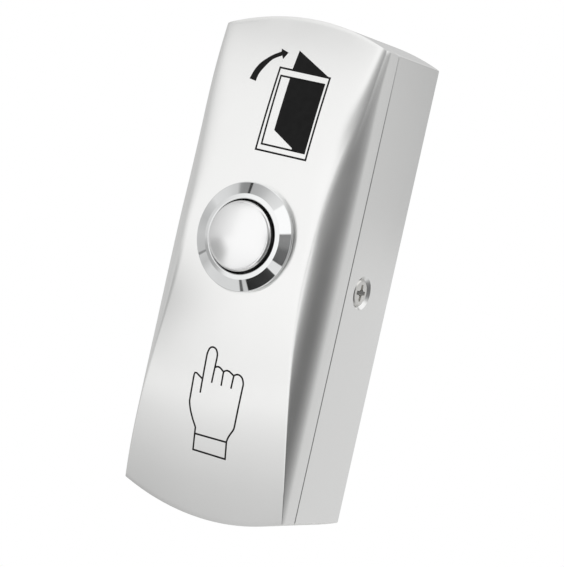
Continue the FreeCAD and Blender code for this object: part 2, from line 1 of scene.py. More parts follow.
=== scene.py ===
# %% [markdown]
# # A door exit button in satin-plated metal
# The real object is a narrow die-cast wall unit: a bowed front cover on a back box, with a
# domed push switch in a polished bezel and two printed pictograms. This lesson dresses its
# construction model. The frame holds every piece at its real place, in metres, with the wall
# face at Y = 0, the front towards -Y and +Z up.

# %% The frame and the sizes that come from it
import json
import math

import bmesh
import bpy
import numpy as np
from mathutils import Matrix, Vector


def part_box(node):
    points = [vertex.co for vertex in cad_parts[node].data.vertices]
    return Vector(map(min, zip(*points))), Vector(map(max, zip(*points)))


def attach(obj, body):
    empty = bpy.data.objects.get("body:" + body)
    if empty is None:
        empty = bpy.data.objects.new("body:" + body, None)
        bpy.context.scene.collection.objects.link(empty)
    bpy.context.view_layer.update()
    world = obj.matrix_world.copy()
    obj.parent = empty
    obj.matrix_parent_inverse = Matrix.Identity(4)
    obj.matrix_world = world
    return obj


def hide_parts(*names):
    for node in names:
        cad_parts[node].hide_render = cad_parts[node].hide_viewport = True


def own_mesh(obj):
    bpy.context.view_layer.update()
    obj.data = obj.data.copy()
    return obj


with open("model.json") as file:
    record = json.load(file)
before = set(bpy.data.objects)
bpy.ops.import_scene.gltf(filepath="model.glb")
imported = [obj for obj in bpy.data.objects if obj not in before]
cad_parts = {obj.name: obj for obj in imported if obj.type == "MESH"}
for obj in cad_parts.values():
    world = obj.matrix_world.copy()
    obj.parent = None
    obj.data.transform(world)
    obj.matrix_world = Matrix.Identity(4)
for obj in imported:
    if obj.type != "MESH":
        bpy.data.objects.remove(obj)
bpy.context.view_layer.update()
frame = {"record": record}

MM = 0.001
cover_low, cover_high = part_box("front_cover")
bezel_low, bezel_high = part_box("switch_housing")
button_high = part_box("push_button")[1]

HALF_WIDTH = cover_high.x / MM
HALF_LENGTH = cover_high.z / MM
CROWN = -cover_low.y / MM
SWITCH_LIFT = (bezel_high.z + bezel_low.z) / 2 / MM
print("half width, half length:", HALF_WIDTH, HALF_LENGTH)
print("crown above the wall, height of the switch:", CROWN, SWITCH_LIFT)


# %% [markdown]
# ## Camera
# The photograph was taken a little from the right and rolled, so that the unit leans. The
# angles, the distance and the lens below were fitted to the outline, the seam and the bezel.
# A long lens at a third of a metre gives the same gentle perspective.

# %% Camera
AZIMUTH = math.radians(30.12)
ELEVATION = math.radians(2.065)
ROLL = math.radians(12.586)
DISTANCE = 0.3449
LENS_MM = 138.4
SENSOR_MM = 36.0
TARGET = Vector((0.998, -10.0, -1.43)) * MM

towards_camera = Vector((
    math.sin(AZIMUTH) * math.cos(ELEVATION),
    -math.cos(AZIMUTH) * math.cos(ELEVATION),
    math.sin(ELEVATION),
))
level_right = Vector((0, 0, 1)).cross(towards_camera).normalized()
level_up = towards_camera.cross(level_right)
right = math.cos(ROLL) * level_right + math.sin(ROLL) * level_up
up = math.cos(ROLL) * level_up - math.sin(ROLL) * level_right

camera_data = bpy.data.cameras.new("photo_camera")
camera_data.sensor_fit = "HORIZONTAL"
camera_data.sensor_width = SENSOR_MM
camera_data.lens = LENS_MM
camera = bpy.data.objects.new("photo_camera", camera_data)
bpy.context.scene.collection.objects.link(camera)
place = Matrix((right, up, towards_camera)).transposed().to_4x4()
place.translation = TARGET + towards_camera * DISTANCE
camera.matrix_world = place
bpy.context.scene.camera = camera
print("camera at", [round(v, 4) for v in place.translation])


# %% [markdown]
# ## Nodes and colours
# Colours are written as sRGB hex values, as a paint chart gives them, and one function turns
# them to the linear values that the shader works in. One small function adds a node with its
# settings and its links, so that each material below reads as a short list. Two patterns come
# back in most of them: a slow drift of a value, and a fine grain.

# %% Helpers for colours and nodes
def colour(text):
    """Linear red, green, blue and alpha of an sRGB hex colour."""
    parts = [int(text[i:i + 2], 16) / 255 for i in (1, 3, 5)]
    linear = [p / 12.92 if p <= 0.04045 else ((p + 0.055) / 1.055) ** 2.4 for p in parts]
    return (*linear, 1.0)


def add(tree, kind, settings=None, inputs=None):
    """A new node. inputs are values, sockets, or nodes whose first output is meant."""
    made = tree.nodes.new(kind)
    for name, value in (settings or {}).items():
        setattr(made, name, value)
    for name, value in (inputs or {}).items():
        if isinstance(value, bpy.types.Node):
            value = value.outputs[0]
        if isinstance(value, bpy.types.NodeSocket):
            tree.links.new(value, made.inputs[name])
        else:
            made.inputs[name].default_value = value
    return made


print("a mid grey, #808080, is", round(colour("#808080")[0], 3), "in linear light")


def new_material(name):
    """An empty material with its tree and its object coordinates."""
    material = bpy.data.materials.new(name)
    material.use_nodes = True
    tree = material.node_tree
    tree.nodes.clear()
    return material, tree, add(tree, "ShaderNodeTexCoord").outputs["Object"]


def vary(tree, place_in_part, size_mm, low, high):
    """A soft noise of the given feature size, spread from low to high."""
    noise = add(tree, "ShaderNodeTexNoise", inputs={
        "Vector": place_in_part, "Scale": 1 / (size_mm * MM), "Detail": 2.0,
    })
    return add(tree, "ShaderNodeMapRange", inputs={
        "Value": noise, "From Min": 0.3, "From Max": 0.7, "To Min": low, "To Max": high,
    })


def grained(tree, place_in_part, size_mm, detail, strength, depth_mm=0.01):
    """The normals of a surface with a fine grain of the given size and depth."""
    noise = add(tree, "ShaderNodeTexNoise", inputs={
        "Vector": place_in_part, "Scale": 1 / (size_mm * MM), "Detail": detail,
    })
    return add(tree, "ShaderNodeBump", inputs={
        "Strength": strength, "Distance": depth_mm * MM, "Height": noise,
    })


# %% [markdown]
# ## Satin nickel on zinc
# Cover and box are zinc die castings, blasted with fine grit, then plated with satin nickel.
# The blasting leaves a grain of about a tenth of a millimetre, which spreads every
# reflection. The eye sees a soft, even metal with gentle gradients and no sharp mirror image.

# %% Satin nickel material
def metal(name, hex_colour, roughness, patch_mm, grain=None):
    """A metal whose roughness drifts from patch to patch; grain is its size, detail, strength."""
    material, tree, where = new_material(name)
    inputs = {
        "Base Color": colour(hex_colour), "Metallic": 1.0,
        "Roughness": vary(tree, where, patch_mm, *roughness),
    }
    if grain:
        inputs["Normal"] = grained(tree, where, *grain)
    shader = add(tree, "ShaderNodeBsdfPrincipled", inputs=inputs)
    add(tree, "ShaderNodeOutputMaterial", inputs={"Surface": shader})
    return material


satin_nickel = metal("satin_nickel_on_zinc", "#F6F6F5", (0.22, 0.26), 6.0, (0.12, 2.0, 0.06))
print("made", satin_nickel.name)


# %% [markdown]
# ## Polished chrome
# The switch housing is brass, polished and plated with chrome. Its bezel mirrors the room,
# so it needs clean curves more than it needs texture: only a faint haze from handling.

# %% Polished chrome material
polished_chrome = metal("polished_chrome_on_brass", "#F5F6F6", (0.03, 0.05), 3.0)
print("made", polished_chrome.name)


# %% [markdown]
# ## Turned metals
# The button is turned stainless steel, finished satin: fine rings run round its axis, too
# fine to see singly, so they are drawn coarser, a fifth of a millimetre apart. They stretch its
# highlights a little. The side screws are nickel plated, nut, washer and clamps zinc plated,
# and the contacts are brass strip: small parts whose faint grain only dulls their shine.

# %% Turned and plated metals
RING_STEP_MM = 0.2
WAVE_LENGTH = 0.314  # the wave texture's own wave length at scale 1


def turned_satin_steel():
    material, tree, where = new_material("turned_satin_stainless_steel")
    centred = add(tree, "ShaderNodeMapping", inputs={
        "Vector": where, "Location": (0.0, 0.0, -SWITCH_LIFT * MM),
    })
    rings = add(tree, "ShaderNodeTexWave", {"wave_type": "RINGS", "rings_direction": "Y"}, {
        "Vector": centred, "Scale": WAVE_LENGTH / (RING_STEP_MM * MM), "Distortion": 0.4,
    })
    bump = add(tree, "ShaderNodeBump", inputs={
        "Strength": 0.04, "Distance": 0.005 * MM, "Height": rings.outputs["Fac"],
    })
    shader = add(tree, "ShaderNodeBsdfPrincipled", inputs={
        "Base Color": colour("#F8F8F8"), "Metallic": 1.0,
        "Roughness": vary(tree, where, 2.0, 0.16, 0.20), "Normal": bump,
    })
    add(tree, "ShaderNodeOutputMaterial", inputs={"Surface": shader})
    return material


nickel_plate = metal("nickel_plated_steel", "#E6E5E2", (0.17, 0.27), 1.5, (0.20, 3.0, 0.05))
zinc_plate = metal("zinc_plated_steel", "#C9CACB", (0.29, 0.39), 1.5, (0.30, 3.0, 0.10))
spring_wire = metal("drawn_spring_steel", "#B4B4B2", (0.25, 0.35), 1.5, (0.10, 3.0, 0.12))
brass_strip = metal("rolled_contact_brass", "#D9B868", (0.23, 0.33), 1.5, (0.25, 3.0, 0.08))
print("made", ", ".join(m.name for m in (nickel_plate, zinc_plate, spring_wire, brass_strip)))


# %% [markdown]
# ## Plastic, rubber and ink
# The switch's base and plunger are moulded in black plastic with a fine spark-eroded
# surface. The seals are black rubber, duller still. The pictograms are screen printed in
# black ink, a layer a few hundredths of a millimetre thick with a slight gloss.

# %% Plastic, rubber and ink materials
def polymer(name, hex_dark, hex_light, roughness, grain, gloss=0.5):
    """A dark polymer whose colour shifts slightly; grain is its size, detail, strength, depth."""
    material, tree, where = new_material(name)
    mix = add(tree, "ShaderNodeMix", {"data_type": "RGBA"}, {
        "Factor": vary(tree, where, 1.0, 0.0, 1.0),
        "A": colour(hex_dark), "B": colour(hex_light),
    })
    shader = add(tree, "ShaderNodeBsdfPrincipled", inputs={
        "Base Color": mix.outputs["Result"], "Roughness": roughness,
        "Specular IOR Level": gloss, "Normal": grained(tree, where, *grain),
    })
    add(tree, "ShaderNodeOutputMaterial", inputs={"Surface": shader})
    return material


FINISHES = {
    "satin_zinc": satin_nickel,
    "polished_chrome": polished_chrome,
    "satin_steel": turned_satin_steel(),
    "chrome_steel": nickel_plate,
    "plated_steel": zinc_plate,
    "spring_steel": spring_wire,
    "contact_brass": brass_strip,
    "black_plastic": polymer("moulded_black_plastic", "#18181A", "#232325", 0.45,
                             (0.08, 2.0, 0.15, 0.02)),
    "black_rubber": polymer("black_seal_rubber", "#121212", "#1B1B1B", 0.62,
                            (0.05, 2.0, 0.20, 0.02)),
}
printing_ink = polymer("black_printing_ink", "#0B0B0B", "#131313", 0.45,
                       (0.06, 2.0, 0.08, 0.02), gloss=0.16)
print("finishes:", ", ".join(sorted(m.name for m in FINISHES.values())))


# %% [markdown]
# ## Meshes from rules
# Each piece is one closed mesh, built in millimetres in the object's own frame and scaled to
# metres at the end. The helpers make an object from points and faces, cut or join it with
# another one by a boolean whose result is kept as a plain mesh, and dress it: smooth shading up
# to a given angle, and its finish.

# %% Helpers for meshes
def make_object(name, points, faces):
    """A mesh object from points in millimetres."""
    mesh = bpy.data.meshes.new(name)
    mesh.from_pydata((np.asarray(points, float) * MM).tolist(), [], faces)
    mesh.validate()
    shaped = bpy.data.objects.new(name, mesh)
    bpy.context.scene.collection.objects.link(shaped)
    return shaped


def outwards(shaped):
    """Merges doubled points and turns all faces outwards."""
    work = bmesh.new()
    work.from_mesh(shaped.data)
    bmesh.ops.remove_doubles(work, verts=work.verts, dist=0.0005 * MM)
    bmesh.ops.recalc_face_normals(work, faces=work.faces)
    work.to_mesh(shaped.data)
    work.free()
    return shaped


def keep_result(shaped):
    """Replaces the object's mesh by what its modifiers make of it."""
    graph = bpy.context.evaluated_depsgraph_get()
    made = bpy.data.meshes.new_from_object(shaped.evaluated_get(graph))
    shaped.modifiers.clear()
    old = shaped.data
    shaped.data = made
    made.name = shaped.name
    bpy.data.meshes.remove(old)
    return shaped


def combine(shaped, tool, operation="DIFFERENCE"):
    """Cuts the tool out of the object, or joins it, and removes the tool."""
    boolean = shaped.modifiers.new("boolean", "BOOLEAN")
    boolean.operation = operation
    boolean.solver = "EXACT"
    boolean.object = tool
    keep_result(shaped)
    bpy.data.objects.remove(tool)
    return shaped


def shade(shaped, angle):
    """Smooth shading, with edges over the angle kept sharp."""
    for face in shaped.data.polygons:
        face.use_smooth = True
    shaped.data.set_sharp_from_angle(angle=math.radians(angle))


def dress(shaped, slot, angle=30.0):
    """Shades a piece and gives it the finish of a slot of the record."""
    shade(shaped, angle)
    shaped.data.materials.clear()
    shaped.data.materials.append(FINISHES[slot])
    print(shaped.name, "faces:", len(shaped.data.polygons))


# %% [markdown]
# ## Four kinds of simple solids
# Turning, drawing and casting give solids of a few kinds: a profile spun about an axis, the
# plain rod that this makes, a stack of outlines, and a block. All but the block are grids of
# points, so one function makes their faces.

# %% Turned, stacked and square solids
def grid_faces(rows, columns, ring=False, loop=False):
    """The faces of a grid of points; ring closes each row, loop joins the last to the first."""
    return [
        (i * columns + j, i * columns + (j + 1) % columns,
         (i + 1) % rows * columns + (j + 1) % columns, (i + 1) % rows * columns + j)
        for i in range(rows if loop else rows - 1)
        for j in range(columns if ring else columns - 1)
    ]


def turned(name, profile, centre=(0.0, 0.0, 0.0), axis="Y", steps=96):
    """A solid of revolution about Y or X from (depth, radius) pairs."""
    angles = np.linspace(0, 2 * math.pi, steps, endpoint=False)
    points = []
    for depth, radius in profile:
        for angle in angles:
            first, second = radius * math.cos(angle), radius * math.sin(angle)
            points.append((first, depth, second) if axis == "Y" else (depth, first, second))
    faces = grid_faces(len(profile), steps, ring=True, loop=profile[0][1] > 0)
    return outwards(make_object(name, np.array(points) + np.array(centre), faces))


def rod(name, start, end, radius, centre, axis="Y", steps=96):
    """A plain cylinder between two depths."""
    profile = [(start, 0), (start, radius), (end, radius), (end, 0)]
    return turned(name, profile, centre, axis, steps)


def stacked(name, rings):
    """A solid through rings of points, flat at both ends."""
    n = len(rings[0])
    faces = grid_faces(len(rings), n, ring=True)
    faces += [tuple(range(n)), tuple(range(len(rings) * n - 1, (len(rings) - 1) * n - 1, -1))]
    return outwards(make_object(name, [point for ring in rings for point in ring], faces))


def block(name, low, high):
    """A box between two corners."""
    points = [(x, y, z) for x in (low[0], high[0]) for y in (low[1], high[1])
              for z in (low[2], high[2])]
    faces = [(0, 1, 3, 2), (4, 6, 7, 5), (0, 4, 5, 1), (2, 3, 7, 6), (0, 2, 6, 4), (1, 5, 7, 3)]
    return outwards(make_object(name, points, faces))


# %% [markdown]
# ## The cover's form
# The real cover is a bar shape with rounded shoulders, cut across by a long bow. The bow cuts
# them in a crease that wanders outwards towards the ends: crisp below the button, and polished
# softer and softer above it. A rule gives the height of each point: the smaller of the bow and
# the shoulder, blended over a width. The shoulder is a quarter of an ellipse. Its two radii and
# the width of the blend come from a short table, because the real ones change along the unit.

# %% The cover's rule
SEAM = 14.2
BOW_FALL = 4.9
BOW_RADIUS = (HALF_LENGTH ** 2 + BOW_FALL ** 2) / (2 * BOW_FALL)
SHOULDER_START = 2.8
SHOULDER_RADIUS = 5.5
END_RISE = 3.0
END_RADIUS = (HALF_WIDTH ** 2 + END_RISE ** 2) / (2 * END_RISE)

SHOULDER_TABLE = [
    # place along the length, radius across, radius in height, width of the blend
    (-45, 5.5, 5.5, 0.20),
    (0, 5.5, 5.5, 0.20),
    (6, 5.7, 5.5, 0.25),
    (12, 6.1, 5.2, 0.45),
    (18, 6.4, 5.0, 0.90),
    (24, 6.4, 5.0, 1.50),
    (27, 6.2, 5.1, 1.90),
    (30, 5.9, 5.3, 2.30),
    (33, 5.5, 5.5, 2.70),
    (40, 5.5, 5.5, 3.40),
    (45, 5.5, 5.5, 3.40),
]


def soft_table(rows, column, width=4.0):
    """A column of a table along the length, evened out over a few millimetres."""
    step = 0.25
    fine = np.arange(rows[0][0], rows[-1][0] + step, step)
    steps = np.interp(fine, [row[0] for row in rows], [row[column] for row in rows])
    kernel = np.hanning(int(width / step) * 2 + 3)
    padded = np.pad(steps, len(kernel) // 2, mode="edge")
    return fine, np.convolve(padded, kernel / kernel.sum(), mode="valid")


SOFT_COLUMNS = [soft_table(SHOULDER_TABLE, column) for column in (1, 2, 3)]
print("radius of the bow:", round(BOW_RADIUS, 1), "and of the ends:", round(END_RADIUS, 1))


def shoulder_form(z, inset):
    """The shoulder's radius across and in height, and its blend, at a place along the length."""
    if inset > 0:
        same = np.full_like(np.asarray(z, float), SHOULDER_RADIUS - inset)
        return same, same, same * 0 + SHOULDER_TABLE[0][3]
    return [np.interp(z, fine, values) for fine, values in SOFT_COLUMNS]


def bow(z, inset=0.0):
    """Height of the bowed front above the seam."""
    return CROWN - SEAM - BOW_RADIUS + np.sqrt((BOW_RADIUS - inset) ** 2 - z ** 2)


def end_line(x, inset):
    """How far the bowed end reaches from the middle at a place across."""
    return HALF_LENGTH - END_RADIUS + np.sqrt((END_RADIUS - inset) ** 2 - x ** 2)


def crease_angle(z, inset):
    """Where the bow meets the shoulder, as an angle up from the side wall."""
    tall = shoulder_form(z, inset)[1]
    return np.arcsin(np.clip((bow(z, inset) - SHOULDER_START) / tall, 0.02, 0.995))


def cover_height(x, z, inset):
    """Height of the outer or inner form above the seam, with the crease blended."""
    across, tall, blend = shoulder_form(z, inset)
    share = np.clip((np.abs(x) - (HALF_WIDTH - inset - across)) / across, 0, 1)
    shoulder = SHOULDER_START + tall * np.sqrt(1 - share ** 2)
    front = bow(z, inset)
    near = np.clip(1 - np.abs(front - shoulder) / blend, 0, 1)
    return np.minimum(front, shoulder) - blend / 4 * near ** 2


# %% [markdown]
# ## The cover's mesh
# The rule is drawn over a grid of points. Its columns lie close together where the shoulder
# meets the bow and where it runs down to the side, and its rows bend with the ends, so the
# outline is exact. The same function draws the hollow, with every radius drawn in by the wall.

# %% The cover's mesh
def cover_solid(name, inset, foot):
    """The closed form between a foot, a height above the seam, and the bowed front."""
    flat = np.linspace(0, 1, 9)[:-1]
    over = 1 - np.linspace(1, 0, 15)[:-1] ** 2
    down = np.linspace(0, 1, 15) ** 2
    rows = np.linspace(-1, 1, 97)
    count = len(flat) + len(over) + len(down)
    middle = slice(len(flat), len(flat) + len(over))
    outer = slice(len(flat) + len(over), count)
    side = HALF_WIDTH - inset
    z = np.repeat(rows[:, None] * (HALF_LENGTH - END_RISE), count, axis=1)
    for _ in range(8):
        across = shoulder_form(z, inset)[0]
        crease = crease_angle(z, inset)
        x = np.empty_like(z)
        x[:, :len(flat)] = flat * (side - across[:, :len(flat)])
        angle = math.pi / 2 + (crease[:, middle] - math.pi / 2) * over
        x[:, middle] = side + across[:, middle] * (np.cos(angle) - 1)
        x[:, outer] = side + across[:, outer] * (np.cos(crease[:, outer] * (1 - down)) - 1)
        z = rows[:, None] * end_line(x, inset)
    x = np.hstack([-x[:, :0:-1], x])
    z = np.hstack([z[:, :0:-1], z])
    height = cover_height(x, z, inset)
    wide = x.shape[1]
    top = np.stack([x, -(SEAM + height), z], axis=2).reshape(-1, 3)
    low = np.stack([x, np.full_like(x, -(SEAM + foot)), z], axis=2).reshape(-1, 3)
    offset = len(top)
    last_row = offset - wide
    faces = grid_faces(len(rows), wide)
    faces += [tuple(offset + i for i in face[::-1]) for face in faces]
    for a in range(0, last_row, wide):
        for b in (a, a + wide - 1):
            faces.append((b, b + wide, offset + b + wide, offset + b))
    for a in range(wide - 1):
        for b in (a, last_row + a):
            faces.append((b, b + 1, offset + b + 1, offset + b))
    return outwards(make_object(name, np.vstack([top, low]), faces))


def bevel_edges(shaped, width, segments, chosen):
    """A bevel on the edges whose two end points pass the test."""
    work = bmesh.new()
    work.from_mesh(shaped.data)
    edges = [
        e for e in work.edges
        if len(e.link_faces) == 2 and chosen(e.verts[0].co / MM, e.verts[1].co / MM)
        and e.calc_face_angle() > math.radians(40)
    ]
    bmesh.ops.bevel(
        work, geom=edges, offset=width * MM, segments=segments, profile=0.5, affect="EDGES",
        clamp_overlap=True,
    )
    work.to_mesh(shaped.data)
    work.free()
    return shaped


# %% [markdown]
# ## Front cover
# The casting is hollow, with an even wall and a flat round boss for the switch's nut. The outer
# form gets a fine round along its ends and a small break at the seam; then the hollow is cut
# and the boss joined on. A cut by a solid tool gives the same clean edges as a mould does.

# %% Front cover
COVER_WALL = 2.0
LIP_HEIGHT = 1.2
SEAM_GAP = 0.16
SEAT = SEAM + 7.45
PANEL = 2.1
BOSS_RADIUS = 10.0
BOSS_SUNK = 0.45
SWITCH_CENTRE = (0.0, 0.0, SWITCH_LIFT)

cover = cover_solid("cover_casting", 0.0, SEAM_GAP)
END_PLACE = HALF_LENGTH - END_RISE - 0.5
bevel_edges(cover, 0.22, 3, lambda a, b: min(-a.y, -b.y) > SEAM + 0.5
            and min(abs(a.z), abs(b.z)) > END_PLACE)
bevel_edges(cover, 0.20, 2, lambda a, b: min(abs(a.x), abs(b.x)) > HALF_WIDTH - 0.01
            and abs(a.y - b.y) > 0.4)
bevel_edges(cover, 0.12, 1, lambda a, b: max(-a.y, -b.y) < SEAM + SEAM_GAP + 0.01)
combine(cover, cover_solid("cover_hollow", COVER_WALL, -LIP_HEIGHT))
combine(cover, rod("boss", PANEL - SEAT, BOSS_SUNK - SEAT, BOSS_RADIUS, SWITCH_CENTRE), "UNION")


# %% [markdown]
# ## Lugs and holes of the cover
# Two lugs reach down into the box and take the side screws. Each is a plate with two rounded
# corners, drawn as an outline and given a thickness, with a root that ties it to the wall. Last
# come the flat seat of the bezel, the switch's hole and the tapped holes.

# %% Lugs, seat and holes
LUG_FACE = HALF_WIDTH - 2.0 - 0.2
LUG_BACK = LUG_FACE - 2.2
LUG_ROOT = HALF_WIDTH - 1.0
LUG_HALF = 3.5
LUG_FOOT = SEAM - 8.5
LUG_TOP = SEAM + 2.4
LUG_BEND = LUG_HALF - 1.15
SEAT_RADIUS = 8.75
SWITCH_HOLE = 7.0
SCREW_DEPTH = SEAM - 5.0
TAPPED_RADIUS = 1.28
TAPPED_REACH = 14.0


def arc(start, end, centre, count):
    """Points of the shorter arc from start to end about a centre, ends included."""
    first = math.atan2(start[1] - centre[1], start[0] - centre[0])
    last = math.atan2(end[1] - centre[1], end[0] - centre[0])
    turn = (last - first + math.pi) % (2 * math.pi) - math.pi
    radius = math.hypot(start[0] - centre[0], start[1] - centre[1])
    return [
        (centre[0] + radius * math.cos(first + turn * t),
         centre[1] + radius * math.sin(first + turn * t))
        for t in np.linspace(0, 1, count)
    ]


foot_bend = -LUG_FOOT - LUG_BEND
side_bend = LUG_HALF - LUG_BEND
lug_outline = [(-LUG_TOP, -LUG_HALF), (-LUG_TOP, LUG_HALF)]
lug_outline += arc((foot_bend, LUG_HALF), (-LUG_FOOT, side_bend), (foot_bend, side_bend), 9)
lug_outline += arc((-LUG_FOOT, -side_bend), (foot_bend, -LUG_HALF), (foot_bend, -side_bend), 9)
for side in (-1, 1):
    lug = stacked("lug", [[(side * x, y, z) for y, z in lug_outline] for x in (LUG_BACK, LUG_FACE)])
    combine(cover, lug, "UNION")
    near, far = sorted((side * LUG_BACK, side * LUG_ROOT))
    root = block("lug_root", (near, -LUG_TOP, -LUG_HALF), (far, -SEAM, LUG_HALF))
    combine(cover, root, "UNION")

combine(cover, rod("seat_cut", -CROWN - 1, -SEAT, SEAT_RADIUS, SWITCH_CENTRE, steps=192))
combine(cover, rod("switch_cut", -CROWN - 1, -SEAM, SWITCH_HOLE, SWITCH_CENTRE))
combine(cover, rod("tapped_cut", -TAPPED_REACH, TAPPED_REACH, TAPPED_RADIUS,
                   (0, -SCREW_DEPTH, 0), "X", 32))
dress(cover, "satin_zinc")


# %% [markdown]
# ## Back box
# The box behind the seam is the cover's partner casting: straight sides, bowed ends, an even
# wall, a thin lip that stands up inside the cover, and countersunk holes for the side screws.
# A prism from the plan outline, cut by smaller prisms, follows how its mould is made.

# %% Back box
def plan_outline(inset):
    """The outline of cover and box as (x, z) points, drawn inside by an inset."""
    side = HALF_WIDTH - inset
    across = np.linspace(side, -side, 33)
    reach = end_line(across, inset)
    upper = list(zip(across, reach))
    lower = list(zip(-across, -reach))
    return upper + lower


def prism(name, outline, near, far):
    """An upright wall between two heights above the wall face."""
    return stacked(name, [[(x, -height, z) for x, z in outline] for height in (near, far)])


BOX_WALL = 2.0
LIP_GAP = 0.1
LIP_WALL = 0.8
LIP_ROOT = 2.0
LIP_BREAK_HALF = 3.7
WALL_HOLE = 2.1
WALL_HOLE_PLACE = 30.0
WIRE_HOLE = 5.0
WIRE_HOLE_PLACE = -17.0
SINK_RADIUS = 1.4
MOUTH = SINK_RADIUS + 1.05 + 0.25
SINK_START = 12.5
PAST = 0.15

back = prism("box_casting", plan_outline(0.0), 0.0, SEAM)
bevel_edges(back, 0.15, 1, lambda a, b: min(-a.y, -b.y) > SEAM - 0.01)
bevel_edges(back, 0.20, 2, lambda a, b: min(abs(a.x), abs(b.x)) > HALF_WIDTH - 0.01
            and abs(a.y - b.y) > 5)
bevel_edges(back, 0.15, 1, lambda a, b: max(-a.y, -b.y) < 0.01)
combine(back, prism("cavity", plan_outline(BOX_WALL), BOX_WALL, SEAM + 1))

lip_foot = SEAM - LIP_ROOT
lip = prism("lip", plan_outline(BOX_WALL + LIP_GAP), lip_foot, SEAM + LIP_HEIGHT)
combine(lip, prism("lip_root", plan_outline(BOX_WALL - 0.3), lip_foot, SEAM - 0.02), "UNION")
combine(lip, prism("lip_inside", plan_outline(BOX_WALL + LIP_GAP + LIP_WALL), SEAM - 3, SEAM + 3))
combine(lip, block("lip_break", (-HALF_WIDTH, -SEAM - 3, -LIP_BREAK_HALF),
                   (HALF_WIDTH, -SEAM + 2.5, LIP_BREAK_HALF)))
combine(back, lip, "UNION")

for z in (WALL_HOLE_PLACE, -WALL_HOLE_PLACE):
    combine(back, rod("wall_hole", -3, 1, WALL_HOLE, (0, 0, z), steps=48))
combine(back, rod("wire_hole", -3, 1, WIRE_HOLE, (0, 0, WIRE_HOLE_PLACE), steps=72))
sink = [(SINK_START, 0), (SINK_START, SINK_RADIUS), (HALF_WIDTH - MOUTH + SINK_RADIUS, SINK_RADIUS),
        (HALF_WIDTH + PAST, MOUTH + PAST), (HALF_WIDTH + PAST, 0)]
for side in (-1, 1):
    combine(back, turned("sink", [(side * x, r) for x, r in sink], (0, -SCREW_DEPTH, 0), "X", 72))
dress(back, "satin_zinc")


# %% [markdown]
# ## Switch housing
# The housing is turned from one bar: a flange that sits in the cover's flat seat, a cone that
# rises to a narrow lip, a well for the button, and a threaded barrel behind. A half section
# with small rounds at its corners, spun about the switch's axis, gives the mirror its fine
# bright edges. Each long straight run gets a point close to both ends: without them, smooth
# shading would bend the cone's mirror image.

# %% Housing profile
def rounded(corners, steps=5):
    """(depth, radius, bend) corners as a profile with tangent rounds."""
    made = []
    count = len(corners)
    for i, (depth, radius, bend) in enumerate(corners):
        if bend == 0:
            made.append((depth, radius))
            continue
        here = Vector((depth, radius))
        before = (Vector(corners[i - 1][:2]) - here).normalized()
        after = (Vector(corners[(i + 1) % count][:2]) - here).normalized()
        half = before.angle(after) / 2
        reach = bend / math.tan(half)
        middle = here + (before + after).normalized() * bend / math.sin(half)
        made += arc(tuple(here + before * reach), tuple(here + after * reach), tuple(middle), steps)
    return made


def held(profile, reach=0.03):
    """The profile with a point close to both ends of each long run, so that it shades straight."""
    made = []
    for start, end in zip(profile, profile[1:] + profile[:1]):
        run = math.dist(start, end)
        made.append(start)
        if run > 8 * reach:
            for share in (reach / run, 1 - reach / run):
                made.append(tuple(a + (b - a) * share for a, b in zip(start, end)))
    return made


def on_axis(profile):
    """The profile moved from heights at the seat to the part's own frame."""
    return [(depth - SEAT, radius) for depth, radius in profile]


CONE_FOOT = (-1.229, 8.55)
CONE_TOP = (-1.86, 6.70)
BARREL_RADIUS = 6.9
housing_corners = [
    # depth from the seat, radius, bend of the corner
    (0.0, 8.0, 0), (0.0, 8.55, 0.05), (*CONE_FOOT, 0.14), (*CONE_TOP, 0.04),
    (-1.885, 6.62, 0.03), (-2.03, 6.02, 0.10), (-1.90, 5.85, 0.12), (4.0, 5.85, 0.1),
    (4.0, 2.55, 0.05), (5.5, 2.55, 0.05), (5.5, 5.6, 0.1), (12.4, 5.6, 0.1),
    (12.4, BARREL_RADIUS, 0.25), (0.0, BARREL_RADIUS, 0), (0.0, 7.2, 0), (-0.8, 7.2, 0),
    (-0.8, 8.0, 0),
]
housing_profile = on_axis(held(rounded(housing_corners)))
housing = turned("switch_barrel", housing_profile, SWITCH_CENTRE, steps=192)
dress(housing, "polished_chrome")


# %% [markdown]
# ## Push button
# The cap is a shallow dome whose rim rolls over in a small round, tangent to both sides, so
# that its highlight runs on without a break. Below it a groove holds the seal, and the stem
# with its clip groove runs down into the switch.

# %% Push button
DOME_TOP = -3.7
DOME_HALF = 5.15
DOME_RISE = 0.8
CAP_RADIUS = 5.5
STEM_RADIUS = 2.5
RIM_ROUND = 0.50

dome_radius = (DOME_HALF ** 2 + DOME_RISE ** 2) / (2 * DOME_RISE)
dome_centre = DOME_TOP + dome_radius
rim_radius = CAP_RADIUS - RIM_ROUND
rim_depth = dome_centre - math.sqrt((dome_radius - RIM_ROUND) ** 2 - rim_radius ** 2)
touch = dome_radius / (dome_radius - RIM_ROUND)
touch_point = (dome_centre - (dome_centre - rim_depth) * touch, rim_radius * touch)
stem_end = button_high.y / MM + SEAT

